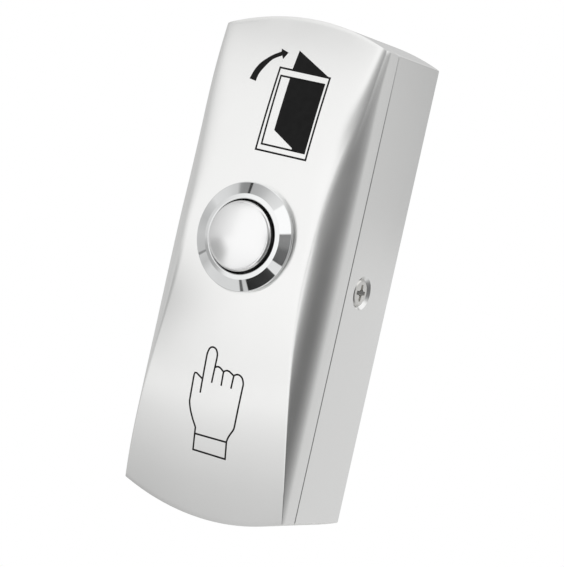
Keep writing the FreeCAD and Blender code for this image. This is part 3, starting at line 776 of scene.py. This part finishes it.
dome = arc((DOME_TOP, 0.0), touch_point, (dome_centre, 0.0), 28)
rim = arc(touch_point, (rim_depth, CAP_RADIUS), (rim_depth, rim_radius), 10)
button_profile = dome + rim[1:] + rounded([
    (-1.1, CAP_RADIUS, 0), (-1.1, 4.85, 0), (-0.1, 4.85, 0), (-0.1, CAP_RADIUS, 0),
    (0.6, CAP_RADIUS, 0.1), (0.6, STEM_RADIUS, 0.1), (5.55, STEM_RADIUS, 0), (5.55, 1.9, 0),
    (6.05, 1.9, 0), (6.05, STEM_RADIUS, 0), (stem_end, STEM_RADIUS, 0.1),
    (stem_end, 1.0, 0), (stem_end - 1.8, 1.0, 0), (stem_end - 1.8, 0.0, 0),
])
button = turned("button_cap", on_axis(button_profile), SWITCH_CENTRE, steps=160)
dress(button, "satin_steel")


# %% [markdown]
# ## Coils and threads by Geometry Nodes
# A thread, and a coil spring, are the same rule: a profile swept along a helix. One node tree
# makes both. A line is bent round an axis by its own factor, its height eased at both ends as
# a spring's closed ends are, and a circle of few or many sides is swept along it: four sides
# give the ridge of a thread, many give a round wire.

# %% The helix tree
def tree_with_inputs(name, **sockets):
    """A geometry tree with its named inputs."""
    tree = bpy.data.node_groups.new(name, "GeometryNodeTree")
    for label, kind in sockets.items():
        tree.interface.new_socket(
            name=label.replace("_", " "), in_out="INPUT", socket_type="NodeSocket" + kind)
    tree.interface.new_socket(name="Geometry", in_out="OUTPUT", socket_type="NodeSocketGeometry")
    return tree, add(tree, "NodeGroupInput").outputs


def end_tree(tree, geometry, material):
    """Makes the tree's result real and gives it its material."""
    real = add(tree, "GeometryNodeRealizeInstances", inputs={"Geometry": geometry})
    coated = add(tree, "GeometryNodeSetMaterial", inputs={"Geometry": real, "Material": material})
    add(tree, "NodeGroupOutput", inputs={"Geometry": coated})
    return tree


def helix_tree():
    tree, given = tree_with_inputs(
        "helix", Radius="Float", Length="Float", Turns="Float", End_share="Float",
        Profile_radius="Float", Profile_sides="Int", Points="Int", Metal="Material")
    line = add(tree, "GeometryNodeCurvePrimitiveLine", inputs={"End": (0.0, 0.0, 1.0)})
    fine = add(tree, "GeometryNodeResampleCurve", inputs={"Curve": line, "Count": given["Points"]})
    share = add(tree, "GeometryNodeSplineParameter")
    turns = add(tree, "ShaderNodeMath", {"operation": "MULTIPLY"}, {0: share, 1: given["Turns"]})
    angle = add(tree, "ShaderNodeMath", {"operation": "MULTIPLY"}, {0: turns, 1: 2 * math.pi})
    eased = add(tree, "ShaderNodeMath", {"operation": "SUBTRACT"}, {0: 1.0, 1: given["End share"]})
    rise = add(tree, "ShaderNodeMapRange", {"interpolation_type": "LINEAR"}, {
        "Value": share, "From Min": given["End share"], "From Max": eased,
        "To Min": 0.0, "To Max": given["Length"],
    })
    circle = {}
    for axis, wave in (("X", "COSINE"), ("Y", "SINE")):
        part = add(tree, "ShaderNodeMath", {"operation": wave}, {0: angle})
        circle[axis] = add(tree, "ShaderNodeMath", {"operation": "MULTIPLY"}, {
            0: part, 1: given["Radius"],
        })
    around = add(tree, "ShaderNodeCombineXYZ", inputs={**circle, "Z": rise})
    bent = add(tree, "GeometryNodeSetPosition", inputs={"Geometry": fine, "Position": around})
    upright = add(tree, "GeometryNodeSetCurveNormal", {"mode": "Z_UP"}, {"Curve": bent})
    section = add(tree, "GeometryNodeCurvePrimitiveCircle", inputs={
        "Resolution": given["Profile sides"], "Radius": given["Profile radius"],
    })
    swept = add(tree, "GeometryNodeCurveToMesh", inputs={
        "Curve": upright, "Profile Curve": section, "Fill Caps": True,
    })
    return end_tree(tree, swept, given["Metal"])


def grow(name, tree, values, base=None):
    """The plain mesh that a tree makes from its named values, and from a base mesh if given."""
    seed = bpy.data.objects.new(name, base or bpy.data.meshes.new(name))
    bpy.context.scene.collection.objects.link(seed)
    modifier = seed.modifiers.new("rule", "NODES")
    modifier.node_group = tree
    for socket in tree.interface.items_tree:
        if socket.in_out == "INPUT" and socket.name in values:
            modifier[socket.identifier] = values[socket.name]
    return keep_result(seed)


def place_mesh(shaped, where, turn):
    """Turns and moves the mesh itself, in millimetres, so that the object stays at the origin."""
    shaped.data.transform(Matrix.Translation(Vector(where) * MM) @ turn)
    shaped.data.update()


HELIX = helix_tree()
print("helix inputs:", [s.name for s in HELIX.interface.items_tree if s.in_out == "INPUT"])


# %% [markdown]
# ## Thread on the barrel
# Behind the flange the barrel carries a fine thread for the panel nut. The barrel above has
# its full radius, so its outside is first turned down to the thread's root, and the ridge then
# rises to the full radius again.

# %% Barrel thread
THREAD_DEPTH = 0.45
THREAD_PITCH = 1.0
THREAD_LENGTH = 10.4
INTO_DEPTH = Matrix.Rotation(-math.pi / 2, 4, "X")

root_radius = BARREL_RADIUS - THREAD_DEPTH
groove = [(0.6, root_radius), (0.6, 7.5), (12.0, 7.5), (12.0, root_radius)]
combine(housing, turned("thread_root", on_axis(groove), SWITCH_CENTRE, steps=192))
thread = grow("barrel_thread", HELIX, {
    "Radius": (root_radius + 0.02) * MM, "Length": THREAD_LENGTH * MM,
    "Turns": THREAD_LENGTH / THREAD_PITCH, "End share": 0.0, "Profile radius": 0.43 * MM,
    "Profile sides": 4, "Points": 660, "Metal": polished_chrome,
})
place_mesh(thread, (0, 1.1 - SEAT, SWITCH_LIFT), INTO_DEPTH)
shade(housing, 30.0)
print("thread faces:", len(thread.data.polygons))


# %% [markdown]
# ## Return spring
# A coil of drawn steel wire stands between the cap and the web of the housing. It is squeezed
# when the button goes in.

# %% Return spring
spring = grow("return_coil", HELIX, {
    "Radius": 4.1 * MM, "Length": 2.8 * MM, "Turns": 3.6, "End share": 0.1,
    "Profile radius": 0.25 * MM, "Profile sides": 14, "Points": 260, "Metal": spring_wire,
})
place_mesh(spring, (0, 0.9 - SEAT, SWITCH_LIFT), INTO_DEPTH)
dress(outwards(spring), "spring_steel", 40.0)


# %% [markdown]
# ## Side screws
# Two countersunk machine screws hold the cover. The head is turned with a slight dome and cut
# by a cross recess: four tapered wings round a deep centre. The shaft is turned to the root
# of its thread, and the same helix rule adds the ridge.

# %% Side screws
HEAD_TOP = 0.16
HEAD_RIM = (0.25, 2.18)
HEAD_DOME_CENTRE = 26.555
SHAFT_RADIUS = 1.04
SHAFT_START, SHAFT_END = 1.42, 5.65
RECESS = [
    # depth, half width of a wing, its reach, place of the corner between two wings
    (-0.4, 0.30, 1.42, 0.42),
    (0.35, 0.27, 1.30, 0.36),
    (1.15, 0.20, 0.55, 0.24),
]


def cross_tool(name):
    """The tapered cutter of the cross recess, along +X from the head's face inwards."""
    rings = []
    for depth, half, reach, corner in RECESS:
        wing = ((reach, -half), (reach, half), (corner, corner))
        quarters = [(math.cos(q * math.pi / 2), math.sin(q * math.pi / 2)) for q in range(4)]
        rings.append([(depth, a * c - b * s, a * s + b * c) for c, s in quarters for a, b in wing])
    return stacked(name, rings)


def side_screw(name, side):
    """A screw along X, made with its head at depth 0 and then moved to its side."""
    dome = arc((HEAD_TOP, 0.0), HEAD_RIM, (HEAD_DOME_CENTRE, 0.0), 8)
    profile = dome[:-1] + rounded([
        (0.27, 2.26, 0.05), (SHAFT_START, SHAFT_RADIUS, 0.1), (5.3, SHAFT_RADIUS, 0.1),
        (SHAFT_END, 0.7, 0.05), (SHAFT_END, 0.0, 0),
    ])
    screw = turned(name, profile, axis="X")
    combine(screw, cross_tool("recess"))
    centre = [(-0.5, 0), (-0.5, 0.66), (0.2, 0.62), (2.6, 0.40), (2.6, 0)]
    combine(screw, turned("recess_centre", centre, axis="X", steps=32))
    ridge = grow("ridge", HELIX, {
        "Radius": 1.05 * MM, "Length": 3.3 * MM, "Turns": 7.33, "End share": 0.0,
        "Profile radius": 0.19 * MM, "Profile sides": 4, "Points": 240, "Metal": nickel_plate,
    })
    place_mesh(ridge, (1.75, 0, 0), Matrix.Rotation(math.pi / 2, 4, "Y"))
    combine(screw, outwards(ridge), "UNION")
    turn = Matrix.Rotation(math.pi if side > 0 else 0.0, 4, "Z")
    place_mesh(screw, (side * HALF_WIDTH, -SCREW_DEPTH, 0), turn)
    dress(screw, "chrome_steel", 28.0)
    return screw


screw_right = side_screw("cross_screw_right", 1)
screw_left = side_screw("cross_screw_left", -1)


# %% [markdown]
# ## Printed pictograms
# The two signs are screen printed: an open door with an arrow above the button, a pointing
# hand below it. Lines are flat strokes laid on the bow. They could be an image on the material,
# but real strokes stay sharp at any distance. A node tree does this for any set of lines drawn
# flat: it sweeps a thin rectangle along them, then gives every point the bow's own height.

# %% The printed line tree
INK_HEIGHT = 0.02


def printed_line_tree():
    tree, given = tree_with_inputs(
        "printed_line", Lines="Geometry", Line_width="Float", Ink_height="Float",
        Bow_radius="Float", Crown="Float", Step="Float", Ink="Material")
    lines = add(tree, "GeometryNodeMeshToCurve", inputs={"Mesh": given["Lines"]})
    fine = add(tree, "GeometryNodeResampleCurve", {"mode": "LENGTH"}, {
        "Curve": lines, "Length": given["Step"],
    })
    flat = add(tree, "GeometryNodeSetCurveNormal", {"mode": "Z_UP"}, {"Curve": fine})
    both = add(tree, "ShaderNodeMath", {"operation": "MULTIPLY"}, {0: given["Ink height"], 1: 2.0})
    section = add(tree, "GeometryNodeCurvePrimitiveQuadrilateral", inputs={
        "Width": given["Line width"], "Height": both,
    })
    swept = add(tree, "GeometryNodeCurveToMesh", inputs={
        "Curve": flat, "Profile Curve": section, "Fill Caps": True,
    })
    where = add(tree, "ShaderNodeSeparateXYZ", inputs={
        "Vector": add(tree, "GeometryNodeInputPosition"),
    }).outputs
    radius = given["Bow radius"]
    full = add(tree, "ShaderNodeMath", {"operation": "MULTIPLY"}, {0: radius, 1: radius})
    along = add(tree, "ShaderNodeMath", {"operation": "MULTIPLY"}, {0: where["Y"], 1: where["Y"]})
    under = add(tree, "ShaderNodeMath", {"operation": "SUBTRACT"}, {0: full, 1: along})
    reach = add(tree, "ShaderNodeMath", {"operation": "SQRT"}, {0: under})
    fall = add(tree, "ShaderNodeMath", {"operation": "SUBTRACT"}, {0: radius, 1: reach})
    high = add(tree, "ShaderNodeMath", {"operation": "ADD"}, {0: given["Crown"], 1: where["Z"]})
    front = add(tree, "ShaderNodeMath", {"operation": "SUBTRACT"}, {0: fall, 1: high})
    laid = add(tree, "ShaderNodeCombineXYZ", inputs={"X": where["X"], "Y": front, "Z": where["Y"]})
    bent = add(tree, "GeometryNodeSetPosition", inputs={"Geometry": swept, "Position": laid})
    return end_tree(tree, bent, given["Ink"])


PRINTED_LINE = printed_line_tree()
print("line inputs:", [s.name for s in PRINTED_LINE.interface.items_tree if s.in_out == "INPUT"])


# %% [markdown]
# ## Strokes, shapes and curves for the print
# A stroke goes to the tree as a chain of points. A filled shape is a thin prism, cut across at
# every millimetre and then bent by moving its points. A curve through a few points stands in
# for the hand of whoever drew the sign.

# %% Helpers for the print


def print_lines(name, lines, width):
    """Strokes along lines of (x, z) points, laid on the bowed front."""
    points = [(x, z, 0.0) for line in lines for x, z in line]
    base = bpy.data.meshes.new(name)
    edges = []
    start = 0
    for line in lines:
        edges += [(start + i, start + i + 1) for i in range(len(line) - 1)]
        start += len(line)
    base.from_pydata((np.array(points) * MM).tolist(), edges, [])
    return grow(name, PRINTED_LINE, {
        "Line width": width * MM, "Ink height": INK_HEIGHT * MM, "Bow radius": BOW_RADIUS * MM,
        "Crown": CROWN * MM, "Step": 0.35 * MM, "Ink": printing_ink,
    }, base)


def print_shape(name, outline):
    """A filled shape of (x, z) points, laid on the bowed front."""
    shape = prism(name, outline, -1.0, 1.0)
    work = bmesh.new()
    work.from_mesh(shape.data)
    zs = [z for _, z in outline]
    for cut in np.arange(math.ceil(min(zs)), max(zs), 1.0):
        everything = work.verts[:] + work.edges[:] + work.faces[:]
        bmesh.ops.bisect_plane(work, geom=everything, plane_co=(0, 0, cut * MM), plane_no=(0, 0, 1),
                               dist=1e-7)
    for vert in work.verts:
        inside = INK_HEIGHT if vert.co.y > 0 else -INK_HEIGHT
        vert.co.y = (inside - SEAM - float(bow(vert.co.z / MM))) * MM
    work.to_mesh(shape.data)
    work.free()
    shape.data.materials.append(printing_ink)
    return shape


def closed_line(corners, width):
    """The sides of a frame as strokes that meet in full corners."""
    sides = []
    for (x0, z0), (x1, z1) in zip(corners, corners[1:] + corners[:1]):
        length = math.hypot(x1 - x0, z1 - z0)
        ux, uz = (x1 - x0) / length * width / 2, (z1 - z0) / length * width / 2
        sides.append([(x0 - ux, z0 - uz), (x1 + ux, z1 + uz)])
    return sides


def smooth_line(points, steps=6):
    """A curve through the points, as a pen would draw it."""
    points = [np.array(p, float) for p in points]
    ends = [2 * points[0] - points[1], *points, 2 * points[-1] - points[-2]]
    made = []
    for a, b, c, d in zip(ends, ends[1:], ends[2:], ends[3:]):
        for t in np.linspace(0, 1, steps, endpoint=False):
            made.append(tuple(0.5 * (2 * b + (c - a) * t + (2 * a - 5 * b + 4 * c - d) * t ** 2
                                     + (3 * b - a - 3 * c + d) * t ** 3)))
    return made + [tuple(points[-1])]


# %% [markdown]
# ## The open door and its arrow
# A double frame, the leaf swung out of it in solid black, and an arrow that bends towards it.
# The frame's sides are single strokes that meet in full corners, so its lines stay even.

# %% The open door and its arrow
DOOR_LINE = 0.29
door_frame = [(-2.45, 31.6), (6.72, 31.35), (6.78, 18.2), (-2.38, 18.35)]
door_opening = [(-1.85, 30.35), (6.1, 30.2), (6.2, 19.2), (-1.62, 19.35)]
frame_strokes = closed_line(door_frame, DOOR_LINE) + closed_line(door_opening, DOOR_LINE)
door_lines = print_lines("door_lines", frame_strokes, DOOR_LINE)
leaf = print_shape("door_leaf", [
    (-0.15, 30.35), (6.15, 30.25), (6.25, 19.15), (4.0, 19.2), (3.85, 19.6), (-0.1, 21.8),
])
leaf_top = print_shape("door_leaf_top", [(-0.05, 34.75), (-0.22, 31.5), (6.75, 31.3)])
outer_edge = [(-7.22, 29.0), (-6.84, 30.5), (-6.12, 31.82), (-4.65, 33.2), (-3.17, 34.1)]
arrow_head = [(-3.29, 34.56), (-1.88, 34.12), (-2.47, 32.97)]
inner_edge = [(-2.82, 33.5), (-4.28, 32.6), (-5.28, 31.17), (-5.86, 29.95), (-6.0, 28.78)]
arrow = print_shape("door_arrow", smooth_line(outer_edge) + arrow_head + smooth_line(inner_edge))
print("frame faces:", len(door_lines.data.polygons))


# %% [markdown]
# ## The pointing hand
# The hand is drawn as a pen would: each list below is one stroke, with curves at the finger
# tips and straight runs between them. The last two are the lines of the cuff.

# %% The pointing hand
HAND_LINE = 0.28
pointing_finger = [(-2.78, -20.57), (-2.66, -14.4)] + smooth_line([
    (-2.64, -14.19), (-2.37, -13.38), (-1.84, -13.08), (-1.22, -13.26), (-0.84, -13.85),
    (-0.76, -14.46),
]) + [(-0.99, -18.58)]
thumb = [(-2.74, -18.36), (-3.9, -17.72)] + smooth_line([
    (-4.05, -17.62), (-4.3, -17.7), (-4.4, -18.09),
])
palm = [(-4.49, -22.2)] + smooth_line([
    (-4.49, -22.29), (-4.15, -23.43), (-3.5, -24.8), (-2.74, -26.02),
]) + [(-2.65, -29.6)]
last_finger = smooth_line([
    (2.79, -16.6), (3.2, -16.3), (3.75, -16.25), (4.35, -16.6), (4.74, -17.4),
])
heel = [(4.3, -24.55)] + smooth_line([
    (4.2, -24.85), (3.5, -26.1), (3.26, -26.9),
]) + [(3.42, -29.65)]
hand = [
    pointing_finger,
    thumb + palm,
    smooth_line([(-0.84, -16.1), (-0.4, -15.86), (0.1, -15.92), (0.84, -16.41)]),
    smooth_line([(0.84, -16.41), (1.25, -16.12), (1.8, -16.1), (2.79, -16.6)]),
    last_finger + heel,
    [(0.84, -16.41), (0.81, -18.63)],
    [(2.79, -16.6), (2.65, -18.66)],
    [(-2.72, -27.05), (3.3, -27.0)],
    [(-2.79, -29.6), (3.56, -29.65)],
]
hand_lines = print_lines("hand_lines", hand, HAND_LINE)
print("hand faces:", len(hand_lines.data.polygons))


# %% [markdown]
# ## Placing the pieces on the bodies
# Each piece says which body it moves with, which construction piece it stands for, and which
# finish of the record it shows. The coil, squeezed along its axis when the button goes in, gets a
# mesh of its own.
# The pieces inside keep their construction shape and get the finish that the real ones have.

# %% Bodies, replaced pieces and finishes
pieces = [
    (cover, "case", ["front_cover"], "satin_zinc"),
    (back, "case", ["back_box"], "satin_zinc"),
    (housing, "case", ["switch_housing"], "polished_chrome"),
    (thread, "case", [], "polished_chrome"),
    (screw_right, "case", ["side_screw_right"], "chrome_steel"),
    (screw_left, "case", ["side_screw_left"], "chrome_steel"),
    (button, "button", ["push_button"], "satin_steel"),
    (spring, "case", ["return_spring"], "spring_steel"),
    (door_lines, "case", [], "black_rubber"),
    (leaf, "case", [], "black_rubber"),
    (leaf_top, "case", [], "black_rubber"),
    (arrow, "case", [], "black_rubber"),
    (hand_lines, "case", [], "black_rubber"),
]
for piece, body, nodes, slot in pieces:
    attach(piece, body)
    if nodes:
        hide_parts(*nodes)
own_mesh(spring)

replaced = [node for _, _, nodes, _ in pieces for node in nodes]
for subpart in frame["record"]["subparts"]:
    node, finish = subpart["node"], FINISHES[subpart["material_slot"]]
    if node not in replaced:
        kept = bpy.data.objects[node]
        kept.data.materials.clear()
        kept.data.materials.append(finish)
        print("kept", node, "in", finish.name)


# %% [markdown]
# ## Mirrors and directions
# Polished metal shows what stands round it, so it is photographed inside a white tent with
# grey cards. Directions are given in two ways: by azimuth, from the front towards the right,
# and elevation; or by the tilt and the clock angle of the small mirror on the part that would
# show that direction to the camera, which tells which place on the part a card is meant for.

# %% Mirrors and soft edges
def mirror_of(direction, view=towards_camera):
    """Tilt and clock angle, in degrees, of the mirror that shows a direction to the camera."""
    normal = (direction + view).normalized()
    tilt = math.degrees(math.acos(max(-1, min(1, -normal.y))))
    return tilt, math.degrees(math.atan2(normal.z, normal.x)) % 360


def seen_in(tilt, clock, view=towards_camera):
    """The direction that a mirror of this tilt and clock angle shows to the camera."""
    t, c = math.radians(tilt), math.radians(clock)
    normal = Vector((math.sin(t) * math.cos(c), -math.cos(t), math.sin(t) * math.sin(c)))
    return 2 * normal.dot(view) * normal - view


def edge(value, start, end, soft):
    """1 between start and end, fading to 0 over the soft edge."""
    rise = np.clip((value - start) / soft + 0.5, 0, 1)
    fall = np.clip((end - value) / soft + 0.5, 0, 1)
    return rise * rise * (3 - 2 * rise) * fall * fall * (3 - 2 * fall)


print("the flat front mirrors", [round(v, 2) for v in seen_in(0, 0)])


# %% [markdown]
# ## Light tent
# The tent is a large sphere that glows white, with a greyer cloth on its left. Two soft grey
# patches are meant for the button's dome alone. Each tent or card point carries its own shade,
# so one glowing material serves them all. The camera looks through them.

# %% Light tent
LEFT_CLOTH = [
    (-180, 0.80), (-160, 0.60), (-78, 0.58), (-62, 0.64), (-55, 0.72), (-47, 0.80), (-40, 0.87),
    (-34, 0.96), (-28, 1.0), (165, 1.0), (180, 0.80),
]
PATCHES = [
    # mirror tilt from and to, clock angle from and to, shade, soft edges of tilt and of angle
    (9.0, 20.0, 192, 246, 0.52, 7, 30),
    (17.5, 20.5, 78, 118, 0.80, 2, 16),
]
SWITCH_TOP = Vector((0.0, -24.5, SWITCH_LIFT))
DOME_SPAN = 17.0
DOME_REACH = 5.2


def shade_at(table, place):
    """The shade that a table of (place, shade) pairs gives at a place."""
    return float(np.interp(place, *zip(*table)))


def patch_level(point):
    """How much of its light a point of tent or card keeps, for what the button's dome mirrors."""
    foot = SWITCH_TOP.copy()
    for _ in range(3):
        tilt, clock = mirror_of((point - foot).normalized())
        reach = min(DOME_REACH, DOME_SPAN * math.sin(math.radians(tilt)))
        around = math.radians(clock)
        foot = SWITCH_TOP + reach * Vector((math.cos(around), 0, math.sin(around)))
    level = 1.0
    for tilt0, tilt1, clock0, clock1, value, soft_tilt, soft_clock in PATCHES:
        mask = edge(tilt, tilt0, tilt1, soft_tilt) * edge(clock, clock0, clock1, soft_clock)
        level *= 1 - mask * (1 - value)
    return float(level)


def glowing_cloth():
    """A cloth that glows in the shade painted on its points."""
    material, tree, _ = new_material("glowing_cloth")
    painted = add(tree, "ShaderNodeAttribute", {"attribute_name": "shade"})
    glow = add(tree, "ShaderNodeEmission", inputs={"Color": painted.outputs["Color"]})
    add(tree, "ShaderNodeOutputMaterial", inputs={"Surface": glow})
    return material


GLOWING_CLOTH = glowing_cloth()


def glowing_card(name, points, faces, shades):
    """A card that glows in the given shades and that the camera doesn't see."""
    card = make_object(name, points, faces)
    layer = card.data.color_attributes.new("shade", "FLOAT_COLOR", "POINT")
    for i, value in enumerate(shades):
        layer.data[i].color = (value, value, value, 1.0)
    card.data.materials.append(GLOWING_CLOTH)
    card.visible_camera = False
    card.visible_shadow = False
    print(name, "faces:", len(faces))


def light_tent(radius=900.0):
    azimuths = np.arange(-180, 180, 2.0)
    elevations = np.arange(-88, 89, 2.0)
    points, shades = [], []
    for el in elevations:
        for az in azimuths:
            a, e = math.radians(az), math.radians(el)
            level = math.cos(e)
            point = Vector((math.sin(a) * level, -math.cos(a) * level, math.sin(e))) * radius
            points.append(tuple(point))
            shades.append(shade_at(LEFT_CLOTH, az) * patch_level(point))
    n = len(azimuths)
    faces = grid_faces(len(elevations), n, ring=True)
    faces += [tuple(range(n)), tuple(range((len(elevations) - 1) * n, len(elevations) * n))]
    glowing_card("light_tent", points, faces, shades)


light_tent()


# %% [markdown]
# ## Ring of small cards
# The bezel's cone shows one thin ring of directions, so its bright and dark sectors come from
# small cards on that ring. The table gives the shade by clock angle round the switch, from
# three o'clock counter-clockwise. The strip is placed point by point where the camera sees it
# mirrored in the middle of the cone's slope.

# %% Ring cards
RING = [
    (0, 0.23), (8, 0.26), (13, 0.24), (15, 1.05), (46, 1.05), (48, 0.80), (60, 0.72), (66, 0.66),
    (72, 0.56), (80, 0.48), (90, 0.44), (91.5, 0.44), (92.5, 0.05), (95, 0.05), (96, 0.27),
    (103, 0.28), (107, 0.33), (111, 0.60), (126, 0.72), (144, 0.76), (150, 0.63), (160, 0.55),
    (168, 0.51), (186, 0.58), (200, 0.54), (208, 0.53), (209, 0.28), (211, 0.28), (212, 0.60),
    (222, 0.54), (228, 0.62), (234, 0.72), (250, 0.70), (276, 0.71), (280, 0.70), (281, 0.12),
    (284, 0.12), (285, 0.58), (290, 0.60), (291, 0.02), (300, 0.03), (318, 0.035), (326, 0.06),
    (327, 0.80), (338, 0.80), (339, 0.10), (345, 0.13), (354, 0.14), (360, 0.23),
]
CONE_TILT = math.degrees(math.atan2(CONE_FOOT[0] - CONE_TOP[0], CONE_FOOT[1] - CONE_TOP[1]))
CONE_MIDDLE = (-1.6, 7.5)
CAMERA_POINT = Vector(place.translation) / MM
print("cone tilt:", round(CONE_TILT, 2))


def cone_point(clock):
    """The middle of the cone's slope at a clock angle."""
    depth, radius = CONE_MIDDLE
    c = math.radians(clock)
    return Vector((radius * math.cos(c), depth - SEAT, SWITCH_LIFT + radius * math.sin(c)))


def seen_in_cone(point):
    """Whether the camera sees this point mirrored in the bezel's cone."""
    foot = cone_point(270)
    for _ in range(5):
        tilt, clock = mirror_of((point - foot).normalized(), (CAMERA_POINT - foot).normalized())
        foot = cone_point(clock)
    return abs(tilt - CONE_TILT) < 1.6


def ring_card(distance=400.0):
    """The strip that the camera sees in the cone, at a distance from it."""
    clocks = np.arange(0, 360, 0.5)
    tilts = np.linspace(CONE_TILT - 0.9, CONE_TILT + 0.9, 4)
    points, shades = [], []
    for tilt in tilts:
        for clock in clocks:
            start = cone_point(clock)
            view = (CAMERA_POINT - start).normalized()
            points.append(tuple(start + distance * seen_in(tilt, clock, view)))
            shades.append(shade_at(RING, clock))
    glowing_card("ring_card", points, grid_faces(len(tilts), len(clocks), ring=True), shades)


ring_card()


# %% [markdown]
# ## Grey cards near the unit
# The dark band along the right shoulder is the reflection of a bent grey card that stands a
# hand's width away. Its shade is given by azimuth; higher up it reaches further forward and
# grows lighter, as the band does. A small card close to the top takes over for the last third
# of the shoulder. A third one, low on the left of the camera, gives the front its grey foot.
# All have a slit through which the bezel sees its ring.

# %% Near cards
SIDE_CARD = [
    (10, 1.0), (18, 1.0), (24, 0.72), (30, 0.47), (36, 0.32), (44, 0.24), (52, 0.19), (60, 0.155),
    (70, 0.14), (88, 0.15), (99, 0.19), (113, 0.28), (129, 0.42), (140, 0.58), (150, 0.67),
    (165, 0.70), (176, 0.80),
]
SIDE_CARD_FADE = [
    (-250, 0.0), (-8, 0.0), (12, 0.02), (21, 0.05), (30, 0.08), (38, 0.12), (47, 0.20),
    (60, 0.30), (80, 0.44), (105, 0.7), (140, 1.0),
]
UPPER_CARD = [
    (-26, 1.0), (-22, 0.92), (-17, 0.76), (-11, 0.60), (-2, 0.48), (13, 0.37), (37, 0.31),
]
LOW_CARD = [
    (-300, 0.55), (-75, 0.57), (-61.5, 0.61), (-51, 0.71), (-41, 0.82), (-31, 0.89),
    (-21, 0.94), (-11, 0.98), (-4, 1.0), (5, 1.0),
]
SIDE_FORWARD = 24
UPPER_SHIFT = 8


def ramp(value, start, end):
    """0 below the start, 1 above the end, and even in between."""
    return float(np.clip((value - start) / (end - start), 0, 1))


def side_card_shade(az, z, point):
    forward = SIDE_FORWARD * ramp(z, 8, 46) * (1 - float(edge(az, 60, 300, 40)))
    level = shade_at(SIDE_CARD, az + forward)
    lift = shade_at(SIDE_CARD_FADE, z) * (1 - float(edge(az, 115, 300, 30)))
    back = 1 - 0.5 * ramp(az, 149, 163) * ramp(z, 0, 20)
    return (1 - (1 - level) * (1 - lift)) * back


def upper_card_shade(az, z, point):
    behind = side_card_shade(az, z, point)
    own = shade_at(UPPER_CARD, az - UPPER_SHIFT * (2 * ramp(z, 34, 50) - 1))
    mask = ramp(z, 29, 36) * (1 - ramp(z, 52, 82)) * (1 - float(edge(az, 44, 300, 16)))
    return behind * (1 - mask) + own * mask


def low_card_shade(az, z, point):
    fade = float(edge(az, -88, 8, 16))
    foot = 1 - (1 - shade_at(LOW_CARD, z)) * fade
    return shade_at(LEFT_CLOTH, az) * foot * patch_level(point)


def bent_card(name, centre, radius, azimuths, heights, rule):
    """A part of an upright cylinder, shaded by azimuth and height, with a slit for the ring."""
    points, shades, in_slit = [], [], []
    for z in np.arange(*heights):
        for az in np.arange(*azimuths):
            a = math.radians(az)
            x, y = centre[0] + radius * math.sin(a), centre[1] - radius * math.cos(a)
            point = Vector((x, y, z))
            points.append(tuple(point))
            shades.append(rule(az, z, point))
            in_slit.append(seen_in_cone(point))
    grid = grid_faces(len(np.arange(*heights)), len(np.arange(*azimuths)))
    faces = [face for face in grid if not any(in_slit[i] for i in face)]
    glowing_card(name, points, faces, shades)


RIGHT_EDGE = (12.0, -20.0)
bent_card("upper_card", RIGHT_EDGE, 45.0, (-34, 53, 1.0), (28, 86, 1.0), upper_card_shade)
bent_card("side_card", RIGHT_EDGE, 150.0, (-16, 177, 1.0), (-240, 122, 3.0), side_card_shade)
bent_card("low_card", (0.0, -10.0), 60.0, (-96, 17, 1.0), (-160, 2, 1.0), low_card_shade)


# %% [markdown]
# ## Floor and background
# A pale disc of matt board lies well below the unit and is out of the picture at the
# photograph's angle. It is mixed with a clear surface towards its rim, so that other views show
# no hard edge. The world is plain white.

# %% Floor and world
def pale_floor(height=-300.0, radius=850.0):
    rings, steps = 12, 96
    points = [(0.0, 0.0, height)]
    for i in range(1, rings + 1):
        for angle in np.linspace(0, 2 * math.pi, steps, endpoint=False):
            reach = radius * i / rings
            points.append((reach * math.cos(angle), reach * math.sin(angle), height))
    faces = [(0, 1 + j, 1 + (j + 1) % steps) for j in range(steps)]
    faces += [tuple(1 + i for i in face[::-1]) for face in grid_faces(rings, steps, ring=True)]
    disc = make_object("floor", points, faces)
    material, tree, where = new_material("pale_matt_board")
    flat = add(tree, "ShaderNodeMapping", inputs={"Vector": where, "Scale": (1.0, 1.0, 0.0)})
    reach = add(tree, "ShaderNodeVectorMath", {"operation": "LENGTH"}, {"Vector": flat})
    fade = add(tree, "ShaderNodeMapRange", {"interpolation_type": "SMOOTHSTEP"}, {
        "Value": reach.outputs["Value"],
        "From Min": radius * MM * 0.55, "From Max": radius * MM * 0.98,
    })
    board = add(tree, "ShaderNodeBsdfPrincipled", inputs={
        "Base Color": colour("#E6E6E4"), "Roughness": vary(tree, where, 40.0, 0.7, 0.8),
    })
    clear = add(tree, "ShaderNodeBsdfTransparent")
    mixed = add(tree, "ShaderNodeMixShader", inputs={"Fac": fade, 1: board, 2: clear})
    add(tree, "ShaderNodeOutputMaterial", inputs={"Surface": mixed})
    disc.data.materials.append(material)
    print("floor faces:", len(faces))


def white_world():
    world = bpy.data.worlds.new("studio_world")
    world.use_nodes = True
    tree = world.node_tree
    tree.nodes.clear()
    white = add(tree, "ShaderNodeBackground", inputs={"Color": (1, 1, 1, 1), "Strength": 1.0})
    add(tree, "ShaderNodeOutputWorld", inputs={"Surface": white})
    bpy.context.scene.world = world


pale_floor()
white_world()
print("world:", bpy.context.scene.world.name)
bpy.context.scene.view_settings.view_transform = "Standard"
